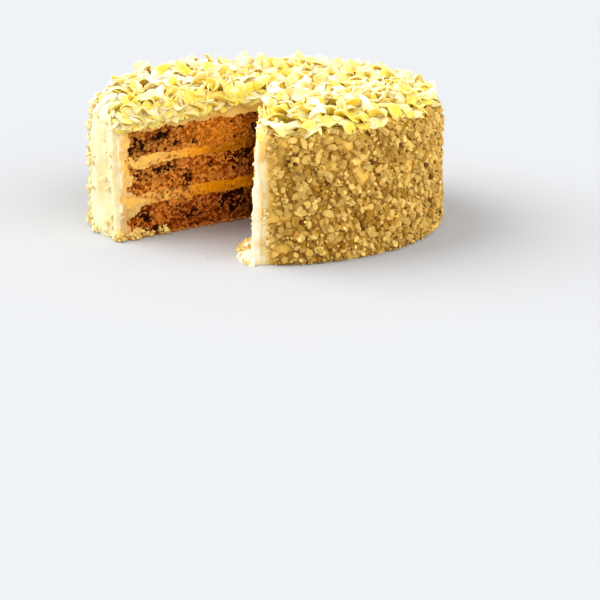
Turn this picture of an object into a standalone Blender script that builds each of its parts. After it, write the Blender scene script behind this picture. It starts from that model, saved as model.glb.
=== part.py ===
"""A round three-layer cake with one slice cut out, standing on its flat base.

Three crumbly sponge layers with two cream fillings between them are wrapped in one coat of cream,
whose top carries curled shavings and whose side carries chopped nuts. The slice is missing at the
front left, so every layer shows at two cut faces that meet on the cake's axis.

Metres, +Z up. The origin is the middle of the footprint, on the surface that the cake stands on.
Angles are measured round the axis from -Y, the front, towards +X.
"""

import itertools
import math
import random

import bmesh
import bpy
from mathutils import Matrix, Vector, noise

MM = 0.001

# Driving dimensions
CREAM_RADIUS = 102.5 * MM  # outer face of the cream, under the nuts
SIDE_CREAM = 5.5 * MM  # thickness of the cream on the side
CREAM_TOP = 75.5 * MM  # height of the cream's top face in the middle
RIM_RADIUS = 11.0 * MM  # rounding between the top and the side
SAG = 3.0 * MM  # how much lower the top is at the side than in the middle
FIT_GAP = 0.3 * MM  # clearance between neighbouring layers
SPONGE_TOPS = (19.0 * MM, 43.0 * MM, 64.5 * MM)  # tops of the three sponges, in the middle
FILLING_TOPS = (26.0 * MM, 48.5 * MM)  # tops of the two fillings, in the middle
CUT_RIGHT = math.radians(-4.4)  # the missing slice's right-hand face
CUT_LEFT = math.radians(-57.0)  # its left-hand face

# Uneven layers
WAVE = 0.9 * MM  # how far a layer's top rises and falls
WAVE_LENGTH = 46.0 * MM
SPONGE_CRAGS = 1.6 * MM  # depth of the crags on a cut sponge
FILLING_CRAGS = 0.5 * MM  # depth of the ripples on a cut filling
CRAG_SIZE = 6.0 * MM
COAT_RELIEF = 0.7 * MM  # unevenness of the spread cream
COAT_RELIEF_SIZE = 24.0 * MM
TOPPING_RELIEF = 2.6 * MM  # bumps of the toppings that are too many to model one by one
TOPPING_SIZE = 7.0 * MM

# Shavings on the top and chopped nuts on the side: how many, and the largest and smallest
SHAVINGS = 108
SHAVING_LENGTHS = (20.0 * MM, 12.0 * MM)
SHAVING_THICKNESS = 1.3 * MM
SHAVING_LIFTS = (0.2 * MM, 2.0 * MM)  # how high a shaving's middle lies over the cream
NUTS = 115
NUT_LENGTHS = (11.0 * MM, 7.0 * MM)
NUT_LIFT = 1.1 * MM
SEED = 11

# Cream dragged out along the foot of the right-hand cut face: each lump's distance from the
# axis and how far it reaches into the gap. The first one ties the others to the coat.
SMEAR_TIE = (99.8 * MM, 2.2 * MM)
SMEAR_LUMPS = ((94.0 * MM, 9.0 * MM), (83.0 * MM, 12.0 * MM), (72.0 * MM, 9.5 * MM))
SMEAR_SQUASH = 0.6  # a lump's height over its reach

# Fineness of the solids
LAYER_COLUMNS = 24  # steps round a layer
LAYER_RINGS = 4  # steps from the axis to the side
CUT_RINGS = 12  # the same along a cut face
COAT_COLUMNS = 60  # steps round the outside of the coat
COAT_RINGS = 7  # steps from the axis to the rim
RIM_STEPS = 3
WALL_STEPS = 7  # steps from the rim down to the base

SPONGE_RADIUS = CREAM_RADIUS - SIDE_CREAM - FIT_GAP
COAT_INNER_RADIUS = CREAM_RADIUS - SIDE_CREAM
CAKE_ARC = CUT_LEFT + 2.0 * math.pi - CUT_RIGHT
EVEN_STEPS = (0.7548776662, 0.5698402910)  # powers of the plastic number: they spread points evenly


def clear_scene():
    """Removes every object of the startup scene."""
    for obj in list(bpy.data.objects):
        bpy.data.objects.remove(obj, do_unlink=True)


def food(name, colour, roughness):
    """A matt food surface of one colour."""
    made = bpy.data.materials.new(name)
    made.use_nodes = True
    shader = made.node_tree.nodes["Principled BSDF"]
    shader.inputs["Base Color"].default_value = (*colour, 1.0)
    shader.inputs["Roughness"].default_value = roughness
    shader.inputs["Metallic"].default_value = 0.0
    return made


def at(radius, angle, height):
    """A point from its distance to the axis, its angle from the front and its height."""
    return Vector((radius * math.sin(angle), -radius * math.cos(angle), height))


def sagged(height, radius):
    """A height over the base, lowered towards the side, where the cake has settled most."""
    return height * (1.0 - SAG / CREAM_TOP * (radius / CREAM_RADIUS) ** 3)


def wavy(height, radius, angle):
    """A layer boundary's height: nearly flat, swelling gently from place to place."""
    return sagged(height, radius) + WAVE * noise.noise(at(radius, angle, 5.0 * height) / WAVE_LENGTH)


def object_from(bm, name, finish):
    """Turns a bmesh into a named object with one material, closed and with outward faces."""
    bmesh.ops.remove_doubles(bm, verts=bm.verts, dist=0.02 * MM)
    bmesh.ops.delete(bm, geom=[v for v in bm.verts if not v.link_faces], context="VERTS")
    bmesh.ops.triangulate(bm, faces=bm.faces)
    bmesh.ops.recalc_face_normals(bm, faces=bm.faces)
    mesh = bpy.data.meshes.new(name)
    bm.to_mesh(mesh)
    bm.free()
    mesh.materials.append(finish)
    obj = bpy.data.objects.new(name, mesh)
    bpy.context.scene.collection.objects.link(obj)
    return obj


def soften(obj):
    """Smooth shading with the sharp edges kept."""
    obj.data.shade_smooth()
    obj.data.set_sharp_from_angle(angle=math.radians(35.0))


def zip_rows(bm, near, far):
    """Triangles between two rows of vertices, which may differ in their number.

    The row that lies behind steps on. The far one goes first, so that rows that start at the same
    place, on the axis, part there without slivers.
    """
    i = j = 0
    while i < len(near) - 1 or j < len(far) - 1:
        if i / (len(near) - 1) < j / (len(far) - 1):
            bm.faces.new([near[i], near[i + 1], far[j]])
            i += 1
        else:
            bm.faces.new([near[i], far[j + 1], far[j]])
            j += 1


def layer_column(bm, column, low, high, crags):
    """One radial section of a layer: rings of vertices from the axis out, each from bottom to top.

    The first and last sections are the cut faces. They are finer, and torn in by up to crags.
    """
    angle = CUT_RIGHT + CAKE_ARC * column / LAYER_COLUMNS
    inward = {0: 1.0, LAYER_COLUMNS: -1.0}.get(column, 0.0)
    across = Vector((math.cos(angle), math.sin(angle), 0.0)) * inward
    ring_count = CUT_RINGS if inward else LAYER_RINGS
    steps_up = 3 if inward and crags > FILLING_CRAGS else 1
    rings = []
    for ring in range(ring_count + 1):
        radius = SPONGE_RADIUS * ring / ring_count
        bottom = wavy(low, radius, angle) if low else 0.0
        top = wavy(high, radius, angle) - FIT_GAP
        upright = []
        for step in range(steps_up + 1):
            spot = at(radius, angle, bottom + (top - bottom) * step / steps_up)
            if ring:
                spot += across * crags * (0.5 + 0.5 * noise.noise(spot / CRAG_SIZE))
            upright.append(bm.verts.new(spot))
        rings.append(upright)
    return rings


def cake_layer(name, low, high, crags, finish):
    """A layer from the axis to the side, between two wavy heights, torn at both cut faces."""
    bm = bmesh.new()
    columns = [layer_column(bm, c, low, high, crags) for c in range(LAYER_COLUMNS + 1)]
    for cut_face in (columns[0], columns[-1]):
        for near, far in zip(cut_face, cut_face[1:]):
            zip_rows(bm, near, far)
    for left, right in zip(columns, columns[1:]):
        zip_rows(bm, left[-1], right[-1])
        for level in (0, -1):
            zip_rows(bm, [r[level] for r in left], [r[level] for r in right])
    layer = object_from(bm, name, finish)
    soften(layer)
    return layer


def coat_outline(angle):
    """The coat's outside at one angle, from the axis over the rim down to the base.

    Each point is pushed along the surface's slant, from 0 on the top to 90 degrees on the wall,
    by the broad unevenness of the cream and by bumps as large as a nut.
    """
    rim_start, wall_top = CREAM_RADIUS - RIM_RADIUS, CREAM_TOP - RIM_RADIUS
    outline = [(rim_start * ring / COAT_RINGS, CREAM_TOP, 0.0) for ring in range(COAT_RINGS)]
    for step in range(RIM_STEPS + 1):
        slant = 0.5 * math.pi * step / RIM_STEPS
        radius = rim_start + RIM_RADIUS * math.sin(slant)
        outline.append((radius, wall_top + RIM_RADIUS * math.cos(slant), slant))
    for step in range(1, WALL_STEPS + 1):
        outline.append((CREAM_RADIUS, wall_top * (1.0 - step / WALL_STEPS), 0.5 * math.pi))
    spots = []
    for radius, height, slant in outline:
        spot = at(radius, angle, height)
        push = COAT_RELIEF * noise.noise(spot / COAT_RELIEF_SIZE)
        push += TOPPING_RELIEF * noise.noise(spot / TOPPING_SIZE)
        level = sagged(height, radius) + push * math.cos(slant)
        spots.append(at(radius + push * math.sin(slant), angle, level))
    return spots


def coat_lining(angle):
    """The coat's inside at one angle, from the axis along its ceiling and down to the base."""
    spots = []
    for ring in range(LAYER_RINGS + 1):
        radius = COAT_INNER_RADIUS * ring / LAYER_RINGS
        spots.append(at(radius, angle, wavy(SPONGE_TOPS[2], radius, angle)))
    return spots + [at(COAT_INNER_RADIUS, angle, 0.0)]


def plain_coat(finish):
    """The cream coat without its toppings: a deep lid over the layers, open at the missing slice."""
    bm = bmesh.new()
    outside, lining = [], []
    for column in range(COAT_COLUMNS + 1):
        spots = coat_outline(CUT_RIGHT + CAKE_ARC * column / COAT_COLUMNS)
        outside.append([bm.verts.new(spot) for spot in spots])
    for column in range(LAYER_COLUMNS + 1):
        spots = coat_lining(CUT_RIGHT + CAKE_ARC * column / LAYER_COLUMNS)
        lining.append([bm.verts.new(spot) for spot in spots])
    for shell in (outside, lining):
        for left, right in zip(shell, shell[1:]):
            zip_rows(bm, left, right)
    zip_rows(bm, [column[-1] for column in outside], [column[-1] for column in lining])
    for end in (0, -1):
        bm.faces.new(outside[end] + lining[end][::-1])
    return object_from(bm, "cream_coat", finish)


def even_spot(index):
    """Two shares from 0 to 1 for the index-th piece: any first few spread evenly."""
    return [(0.5 + (index + 1) * step) % 1.0 for step in EVEN_STEPS]


def clear_of_cut(radius, angle, reach):
    """Whether a place on the cake lies at least reach from both cut faces."""
    from_cut = min(angle - CUT_RIGHT, CUT_RIGHT + CAKE_ARC - angle, 0.5 * math.pi)
    return radius * math.sin(from_cut) > reach


def rim_drop(over):
    """How far the rounded rim falls away at a distance over its start."""
    return RIM_RADIUS - math.sqrt(RIM_RADIUS**2 - over**2)


def sized(index, count, sizes):
    """The index-th of count sizes, from the largest down to the smallest."""
    largest, smallest = sizes
    return largest + (smallest - largest) * index / count


def shaving(length, segments, draw):
    """A thin flake on the origin: a flat shard if it has one segment, a curl if it has more."""
    curl = draw.uniform(0.6, 1.7)  # how far the flake turns from end to end, in radians
    bend_radius = length / curl
    bm = bmesh.new()
    bmesh.ops.create_grid(bm, x_segments=segments, y_segments=1, size=0.5)
    for vert in bm.verts:
        turn = curl * vert.co.x
        width = length * draw.uniform(0.3, 0.75)
        side = vert.co.y * width
        drop = bend_radius * (1.0 - math.cos(turn))
        vert.co = (bend_radius * math.sin(turn), side, drop)
    bmesh.ops.solidify(bm, geom=bm.faces[:], thickness=SHAVING_THICKNESS)
    return bm


def nut(length, draw):
    """A chopped nut on the origin: the hull of a flat box's corners, each pulled in by chance."""
    half = Vector((0.5, draw.uniform(0.3, 0.45), draw.uniform(0.2, 0.28))) * length
    bm = bmesh.new()
    for corner in itertools.product((-1.0, 1.0), repeat=3):
        pulled = Vector([side * draw.uniform(0.35, 1.0) for side in corner])
        bm.verts.new(pulled * half)
    hull = bmesh.ops.convex_hull(bm, input=bm.verts)
    bmesh.ops.delete(bm, geom=hull["geom_interior"], context="VERTS")
    return bm


def lay(bm, name, turn, spot, finish, pile):
    """Places a topping and puts its object in the pile that will be joined to the coat."""
    bmesh.ops.transform(bm, matrix=Matrix.Translation(spot) @ turn, verts=bm.verts)
    obj = object_from(bm, name, finish)
    bpy.context.scene.collection.objects.unlink(obj)
    pile.objects.link(obj)


def lay_shavings(pile, finish, draw):
    """Shavings spread over the top and leaning out over the rim, each slanting out of the cream."""
    rim_start = CREAM_RADIUS - RIM_RADIUS
    for index in range(SHAVINGS):
        length = sized(index, SHAVINGS, SHAVING_LENGTHS) * draw.uniform(0.8, 1.1)
        outward, round_share = even_spot(index)
        radius = (CREAM_RADIUS - 0.35 * length) * math.sqrt(outward)
        angle = CUT_RIGHT + CAKE_ARC * round_share
        over_rim = max(0.0, radius - rim_start)
        lean = math.asin(over_rim / RIM_RADIUS)
        height = sagged(CREAM_TOP - rim_drop(over_rim), radius) + draw.uniform(*SHAVING_LIFTS)
        turn = Matrix.Rotation(angle, 4, "Z") @ Matrix.Rotation(lean, 4, "X")
        turn @= Matrix.Rotation(draw.uniform(0.0, 2.0 * math.pi), 4, "Z")
        turn @= Matrix.Rotation(math.radians(draw.uniform(-38.0, 38.0)), 4, "X")
        turn @= Matrix.Rotation(math.radians(draw.uniform(-24.0, 24.0)), 4, "Y")
        flake = shaving(length, 1 + index % 2, draw)
        if clear_of_cut(radius, angle, 0.35 * length):
            lay(flake, f"shaving_{index}", turn, at(radius, angle, height), finish, pile)
        else:
            flake.free()


def lay_nuts(pile, finish, draw):
    """Chopped nuts spread over the side, lying flat and half sunk in the cream."""
    wall_top = CREAM_TOP - RIM_RADIUS
    lowest, highest = 0.5 * NUT_LENGTHS[0], CREAM_TOP - 0.4 * RIM_RADIUS
    for index in range(NUTS):
        length = sized(index, NUTS, NUT_LENGTHS)
        up, round_share = even_spot(index)
        height = lowest + (highest - lowest) * up
        angle = CUT_RIGHT + CAKE_ARC * round_share
        radius = CREAM_RADIUS - rim_drop(max(0.0, height - wall_top)) + NUT_LIFT
        facing = Matrix.Rotation(angle, 4, "Z") @ Matrix.Rotation(0.5 * math.pi, 4, "X")
        turn = facing @ Matrix.Rotation(draw.uniform(0.0, 2.0 * math.pi), 4, "Z")
        piece = nut(length, draw)
        if clear_of_cut(radius, angle, 0.45 * length):
            spot = at(radius, angle, sagged(height, radius))
            lay(piece, f"nut_{index}", turn, spot, finish, pile)
        else:
            piece.free()


def keep_below(bm, spot, side):
    """Cuts a closed mesh by a plane, keeps what lies against its side and closes it again."""
    geometry = bm.verts[:] + bm.edges[:] + bm.faces[:]
    bmesh.ops.bisect_plane(bm, geom=geometry, plane_co=spot, plane_no=side, clear_outer=True)
    bmesh.ops.holes_fill(bm, edges=bm.edges)


def lump(radius, reach, detail):
    """A squashed ball of cream on the floor, centred on the right-hand cut face."""
    bm = bmesh.new()
    bmesh.ops.create_icosphere(bm, subdivisions=detail, radius=reach)
    squash = Matrix.Diagonal((1.0, 1.0, SMEAR_SQUASH, 1.0))
    bmesh.ops.transform(bm, matrix=squash, verts=bm.verts)
    middle = at(radius, CUT_RIGHT, 0.35 * reach * SMEAR_SQUASH)
    bmesh.ops.translate(bm, vec=middle, verts=bm.verts)
    keep_below(bm, Vector(), Vector((0.0, 0.0, -1.0)))
    return bm


def lay_smear(pile, finish):
    """Lumps of cream along the foot of the cut, tied to the coat and flattened on the sponge."""
    lay(lump(*SMEAR_TIE, 1), "smear_tie", Matrix.Identity(4), Vector(), finish, pile)
    across = Vector((math.cos(CUT_RIGHT), math.sin(CUT_RIGHT), 0.0))
    for index, (radius, reach) in enumerate(SMEAR_LUMPS):
        piece = lump(radius, reach, 2)
        keep_below(piece, -across * FIT_GAP, across)
        lay(piece, f"smear_{index}", Matrix.Identity(4), Vector(), finish, pile)


def fuse(coat, pile):
    """Joins the pile to the coat, fills what that seals in and drops what stays loose."""
    join = coat.modifiers.new("toppings", "BOOLEAN")
    join.operation = "UNION"
    join.operand_type = "COLLECTION"
    join.collection = pile
    join.solver = "MANIFOLD"
    bpy.context.view_layer.update()
    graph = bpy.context.evaluated_depsgraph_get()
    fused = bpy.data.meshes.new_from_object(coat.evaluated_get(graph))
    coat.modifiers.clear()
    for obj in list(pile.objects):
        bpy.data.objects.remove(obj, do_unlink=True)
    bpy.data.collections.remove(pile)
    coat.data = fused
    keep_largest_piece(coat.data)


def keep_largest_piece(mesh):
    """Deletes every connected piece of a mesh but the one with the most vertices."""
    bm = bmesh.new()
    bm.from_mesh(mesh)
    unseen = set(bm.verts)
    pieces = []
    while unseen:
        piece, edge_of_piece = set(), [unseen.pop()]
        while edge_of_piece:
            vert = edge_of_piece.pop()
            piece.add(vert)
            near = [edge.other_vert(vert) for edge in vert.link_edges]
            near = [other for other in near if other in unseen]
            unseen.difference_update(near)
            edge_of_piece += near
        pieces.append(piece)
    pieces.sort(key=len)
    loose = [vert for piece in pieces[:-1] for vert in piece]
    bmesh.ops.delete(bm, geom=loose, context="VERTS")
    bm.to_mesh(mesh)
    bm.free()


def main():
    clear_scene()
    draw = random.Random(SEED)
    sponge = food("sponge", (0.46, 0.22, 0.07), 0.9)
    filling = food("filling", (0.86, 0.62, 0.24), 0.5)
    cream = food("cream_and_nuts", (0.93, 0.80, 0.42), 0.55)

    bounds = [0.0]
    for sponge_top, filling_top in zip(SPONGE_TOPS, FILLING_TOPS + (None,)):
        bounds += [sponge_top, filling_top]
    names = ("sponge_bottom", "filling_lower", "sponge_middle", "filling_upper", "sponge_top")
    for index, name in enumerate(names):
        crags, finish = ((SPONGE_CRAGS, sponge), (FILLING_CRAGS, filling))[index % 2]
        cake_layer(name, bounds[index], bounds[index + 1], crags, finish)

    coat = plain_coat(cream)
    pile = bpy.data.collections.new("toppings")
    bpy.context.scene.collection.children.link(pile)
    lay_shavings(pile, cream, draw)
    lay_nuts(pile, cream, draw)
    lay_smear(pile, cream)
    fuse(coat, pile)
    soften(coat)


main()
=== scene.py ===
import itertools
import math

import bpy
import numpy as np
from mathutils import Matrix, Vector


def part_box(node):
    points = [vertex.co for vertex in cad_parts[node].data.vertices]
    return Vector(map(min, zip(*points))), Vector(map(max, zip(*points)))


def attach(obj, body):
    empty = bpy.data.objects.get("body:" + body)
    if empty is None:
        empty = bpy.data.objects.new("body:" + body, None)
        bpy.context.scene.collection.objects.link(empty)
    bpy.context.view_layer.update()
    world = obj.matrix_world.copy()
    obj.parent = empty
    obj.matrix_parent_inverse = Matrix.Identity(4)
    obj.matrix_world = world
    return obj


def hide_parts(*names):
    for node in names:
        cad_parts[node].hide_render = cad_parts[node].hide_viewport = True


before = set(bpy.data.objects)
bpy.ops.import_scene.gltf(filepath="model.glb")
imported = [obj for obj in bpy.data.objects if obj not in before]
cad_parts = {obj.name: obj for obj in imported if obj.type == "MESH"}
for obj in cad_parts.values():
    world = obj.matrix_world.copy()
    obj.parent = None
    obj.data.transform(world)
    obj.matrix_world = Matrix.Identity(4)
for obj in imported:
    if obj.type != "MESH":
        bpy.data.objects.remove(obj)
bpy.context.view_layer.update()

# The looks of a round three-layer cake with one slice cut out: crumbly nut sponges with cream
# fillings in a coat of cream, curled shavings heaped on the top, chopped nuts pressed on the side.
#
# Metres, +Z up, the origin in the middle of the footprint. Angles are measured round the axis from
# -Y, the front, towards +X. The cake runs from the right-hand cut round the back to the left-hand
# cut. On the outside, a place is given by its run, the way along the surface from the axis over
# the top, the rounded rim and the wall, and by its angle.

bl_info = {
    "name": "Cut layer cake",
    "version": (1, 0, 0),
    "blender": (4, 5, 0),
    "location": "3D View > Sidebar > Cake",
    "description": "Dresses a cut layer cake with crumb, cream, shavings and chopped nuts",
    "category": "Object",
}

MM = 0.001
PI = math.pi
LAYERS = ("sponge_bottom", "filling_lower", "sponge_middle", "filling_upper", "sponge_top")
JOINTS = (0.0, 19.0 * MM, 26.0 * MM, 43.0 * MM, 48.5 * MM, 64.5 * MM)  # the base and the layers' tops
AXIS_RADIUS = 0.3 * MM  # the layers stop this far from the axis, so that their mesh has no pole
OVERLAP = 0.15 * MM  # each layer reaches this far past its joints, so that no crack shows
NEAR_AXIS = 8.0 * MM  # closer to the axis than this, a cut face's relief fades out
CUT_BORDER = 7.0 * MM  # beside a cut, the skin follows the cut face's relief over this way
BANK = (60.0 * MM, 107.0 * MM)  # the dragged cream's bank, from and to this far from the axis
BANK_HEIGHT = 6.2 * MM
EDGE_ROUNDING = 3.0 * MM  # of the coat's outside, where it meets a cut face
ON_COAT = ("cream_and_nuts", ("cream_coat",))  # slot name that add_piece takes, and the node that all pieces on the coat replace
EVEN_STEPS = np.array((0.7548776662, 0.5698402910))  # powers of the plastic number
UPWARD = np.array((0.0, 0.0, 1.0))
WINDOW = (-1.0, 0.25, 0.95)  # towards the soft main light
FRONT_RIGHT = (0.8, -0.6, 0.5)  # towards the weaker light
SLICE_LIGHT = ((-0.09, -0.6, 0.15), (-0.034, -0.03, 0.034))  # the small light's place and target


# ---- Settings -----------------------------------------------------------------------------------


def size(name, description, default):
    """A length that a user can change."""
    return bpy.props.FloatProperty(
        name=name, description=description, default=default, min=0.0, subtype="DISTANCE", unit="LENGTH"
    )


def turn(name, description, degrees):
    """An angle that a user can change, given in degrees."""
    default = math.radians(degrees)
    return bpy.props.FloatProperty(
        name=name, description=description, default=default, subtype="ANGLE", unit="ROTATION"
    )


def count(name, description, default):
    """A number of pieces that a user can change."""
    return bpy.props.IntProperty(name=name, description=description, default=default, min=1)


def tone(name, description, default):
    """A colour that a user can change, in linear light."""
    return bpy.props.FloatVectorProperty(
        name=name, description=description, default=default, min=0.0, max=1.0, size=3, subtype="COLOR"
    )


def amount(name, description, default):
    """A plain number that a user can change."""
    return bpy.props.FloatProperty(name=name, description=description, default=default, min=0.0)


class CakeForm(bpy.types.PropertyGroup):
    """The cake's driving sizes."""

    sponge_radius: size("Sponge radius", "Radius of the layers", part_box("sponge_middle")[1].x)
    side_cream: size("Side cream", "Thickness of the cream on the side", 6.1 * MM)
    top_cream: size("Top cream", "Thickness of the cream over the top sponge", 11.0 * MM)
    rim: size("Rim", "Rounding between the top and the side", 11.0 * MM)
    sag: size("Sag", "How much lower the top is at the side than in the middle", 3.0 * MM)
    cut_right: turn("Right cut", "Angle of the missing slice's right-hand face", -4.4)
    cut_left: turn("Left cut", "Angle of the missing slice's left-hand face", -57.0)


class CakeSponge(bpy.types.PropertyGroup):
    """Crumb of the sponges."""

    crag: size("Crags", "Depth of the crags on a cut face", 1.6 * MM)
    crumb_size: size("Crumb size", "Width of one crumb", 1.85 * MM)
    loose: count("Loose crumbs", "Crumbs that stand out of the cut faces", 2600)
    gold: tone("Gold crumb", "Lightest crumb", (0.88, 0.34, 0.052))
    brown: tone("Brown crumb", "Common crumb", (0.43, 0.092, 0.004))
    russet: tone("Russet crumb", "Darker crumb", (0.15, 0.023, 0.003))
    # The dark tone also paints the deep shade near the notch's apex, in the clusters there.
    dark: tone("Dark crumb", "Chopped dark bits in the crumb", (0.036, 0.006, 0.001))


class CakeCream(bpy.types.PropertyGroup):
    """Colours of the cream."""

    filling: tone("Filling", "Butter cream between the sponges", (1.0, 0.39, 0.004))
    tan: tone("Cut cream", "Cream where the knife went through", (0.91, 0.53, 0.11))
    gap: tone("Gap cream", "Cream between the nuts on the side", (0.42, 0.20, 0.006))
    # The gap cream is dark as painted shade between the nuts.
    patch: tone("Cream patches", "Cream that shows in patches on the side", (0.90, 0.56, 0.09))
    # The wall cream is pale partly as painted light, on the side facing the window.
    wall: tone("Wall cream", "Cream on the side beside the left cut", (0.87, 0.79, 0.49))
    pale: tone("Pale cream", "Cream dragged by the knife and on the top", (0.97, 0.87, 0.63))


class CakeShavings(bpy.types.PropertyGroup):
    """Curled shavings on the top."""

    petals: count("Petals", "Broad curled shavings", 720)
    shards: count("Shards", "Straight broken shavings", 640)
    slivers: count("Slivers", "Narrow shavings", 160)
    chips: count("Chips", "Small broken bits", 800)
    hanging: count("Hanging shavings", "Shavings over the edge of the left-hand cut", 100)
    longest: size("Longest", "Length of the longest shaving", 16.0 * MM)
    heap: size("Heap", "How high the shavings reach over the cream", 17.0 * MM)
    pale: tone("Pale shaving", "The palest shavings, and all broken edges", (0.97, 0.88, 0.73))
    body: tone("Shaving", "Face of a shaving", (0.97, 0.78, 0.38))
    # The deep tone also paints shade: deep in the heap, on sides turned from the window and on the cream
    # under the shavings.
    deep: tone("Deep shaving", "The most golden shavings", (0.98, 0.74, 0.07))


class CakeNuts(bpy.types.PropertyGroup):
    """Chopped nuts on the side."""

    slices: count("Slices", "Flat slices", 620)
    chunks: count("Chunks", "Chopped chunks", 2800)
    granules: count("Granules", "Small bits between the chunks", 9000)
    crumbs: count("Crumbs", "Finest bits", 7500)
    longest: size("Longest", "Length of the longest slice", 10.5 * MM)
    pale: tone("Pale nut", "Cut face of a nut", (0.90, 0.61, 0.16))
    toasted: tone("Toasted nut", "Toasted nut", (0.40, 0.185, 0.008))
    skin: tone("Nut skin", "The few bits with brown skin", (0.15, 0.05, 0.006))
    # The creamy tone is partly cream smeared on the bits and partly painted light, on the side facing
    # the window.
    creamy_and_lit: tone("Creamy nut", "Bits smeared with cream beside the left cut", (0.96, 0.88, 0.52))


class CakeStage(bpy.types.PropertyGroup):
    """Floor and light."""

    floor: tone("Floor", "Pale floor", (0.503, 0.513, 0.524))
    sky: tone("Surroundings", "Soft light from all round", (0.97, 0.98, 1.0))
    sky_strength: amount("Surrounding light", "Strength of the light from all round", 0.76)
    key: amount("Window light", "Strength of the soft light from the left", 3.2)
    fill: amount("Fill light", "Strength of the weaker light from the front right", 2.12)
    glow: amount("Slice light", "Power of the small light into the missing slice, in watts", 1.4)
    camera_far: size("Camera distance", "From the camera to the middle of the footprint", 918.0 * MM)
    camera_up: turn("Camera elevation", "Angle of the camera over the footprint's middle", 15.6)


GROUPS = {
    "cake_form": CakeForm,
    "cake_sponge": CakeSponge,
    "cake_cream": CakeCream,
    "cake_shavings": CakeShavings,
    "cake_nuts": CakeNuts,
    "cake_stage": CakeStage,
}


# ---- Chance and smooth changes ------------------------------------------------------------------


def chance(lattice, seed):
    """A share from 0 to 1 for each point of a whole-number lattice.

    The coordinates, each times a large odd number, are joined, and their bits stirred by shifts
    and products.
    """
    cells = lattice.astype(np.int64).astype(np.uint32)
    mixed = cells[..., 0] * np.uint32(0x8DA6B343)
    mixed ^= cells[..., 1] * np.uint32(0xD8163841)
    mixed ^= cells[..., 2] * np.uint32(0xCB1AB31F)
    mixed ^= np.uint32(seed * 0x9E3779B1 & 0xFFFFFFFF)
    for shift, factor in ((15, 0x2C1B3C6D), (12, 0x297A2D39), (15, 0x9E3779B1)):
        mixed = (mixed ^ (mixed >> np.uint32(shift))) * np.uint32(factor)
    return (mixed ^ (mixed >> np.uint32(16))) / 2.0**32


def swell(points, width, seed):
    """Smooth hills and hollows from -1 to 1, about as wide as width, other ones for each seed.

    Chance values on a lattice are blended between its corners by 6t^5 - 15t^4 + 10t^3.
    """
    scaled = points / width
    corner = np.floor(scaled)
    part = scaled - corner
    part = part**3 * (part * (6.0 * part - 15.0) + 10.0)
    total = 0.0
    for step in itertools.product((0, 1), repeat=3):
        weight = np.where(step, part, 1.0 - part).prod(axis=-1)
        total = total + weight * chance(corner + step, seed)
    return 2.0 * total - 1.0


def grains(points, width, seed):
    """For crumb: how far each point is from its grain's middle, in widths, and the grain's share.

    Each lattice cell holds one middle at a chance place, and the nearest of 27 owns the point.
    """
    scaled = points / width
    cell = np.floor(scaled)
    nearest = np.full(points.shape[:-1], np.inf)
    owner = np.zeros(points.shape[:-1])
    for step in itertools.product((-1, 0, 1), repeat=3):
        lattice = cell + step
        middle = np.stack([chance(lattice, seed + axis) for axis in (1, 2, 3)], axis=-1)
        far = np.linalg.norm(scaled - lattice - middle, axis=-1)
        closer = far < nearest
        nearest = np.where(closer, far, nearest)
        owner = np.where(closer, chance(lattice, seed), owner)
    return nearest, owner


def ramp(values, start, end):
    """From 0 at start to 1 at end, level at both, by 3t^2 - 2t^3."""
    part = np.clip((values - start) / (end - start), 0.0, 1.0)
    return part * part * (3.0 - 2.0 * part)


def blend(first, second, share):
    """Colours from first to second by a share for each point."""
    first, second = np.asarray(first, float), np.asarray(second, float)
    return first + (second - first) * np.asarray(share)[..., None]


def pick(share, steps, colours):
    """The colour of the first step that lies over each share."""
    index = (np.asarray(share)[..., None] >= np.stack(np.broadcast_arrays(*steps), -1)).sum(-1)
    return np.asarray([tuple(colour) for colour in colours])[index]


def even_shares(number, offset):
    """Pairs of shares from 0 to 1 that spread evenly: multiples of two powers of the plastic number."""
    return (offset + np.arange(1, number + 1)[:, None] * EVEN_STEPS) % 1.0


def only(kept, *arrays):
    """The kept rows of each array."""
    return [array[kept] for array in arrays]


# ---- Places on the cake -------------------------------------------------------------------------


def directions(angle):
    """Outward and round the cake, as unit vectors, at each angle."""
    angle = np.asarray(angle, float)
    level = np.zeros_like(angle)
    outward = np.stack((np.sin(angle), -np.cos(angle), level), axis=-1)
    around = np.stack((np.cos(angle), np.sin(angle), level), axis=-1)
    return outward, around


def place(radius, angle, height, aside=0.0):
    """Points from their distance to the axis, angle and height, then moved aside from the plane of
    their angle, the way round the cake."""
    outward, around = directions(angle)
    points = outward * np.asarray(radius)[..., None] + around * np.asarray(aside)[..., None]
    points[..., 2] = height
    return points


def in_section(points):
    """Distance from the axis and height of points, in millimetres."""
    return np.hypot(points[..., 0], points[..., 1]) / MM, points[..., 2] / MM


def arc_of(form):
    """How far the cake reaches round its axis, in radians."""
    return form.cut_left + 2.0 * PI - form.cut_right


def cream_radius(form):
    """Radius of the cream's outside."""
    return form.sponge_radius + form.side_cream


def cream_top(form):
    """Height of the cream's top."""
    return JOINTS[-1] + form.top_cream


def sagged(form, height, radius):
    """A height over the base, lowered towards the side with the cube of the radius."""
    return height * (1.0 - form.sag / cream_top(form) * (radius / cream_radius(form)) ** 3)


def runs(form):
    """The run where the rim starts, where the wall starts and where the base is."""
    rim_start = cream_radius(form) - form.rim
    wall_start = rim_start + 0.5 * PI * form.rim
    return rim_start, wall_start, wall_start + cream_top(form) - form.rim


def outline(form, run):
    """Slant, radius and height of the cream's outside at a run: flat up to the rim, then a quarter
    circle, then straight down, and sagged."""
    rim_start, wall_start, _ = runs(form)
    slant = np.clip((run - rim_start) / form.rim, 0.0, 0.5 * PI)
    radius = np.minimum(run, rim_start) + form.rim * np.sin(slant)
    height = cream_top(form) - form.rim * (1.0 - np.cos(slant)) - np.maximum(run - wall_start, 0.0)
    return slant, radius, sagged(form, height, radius)


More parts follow.
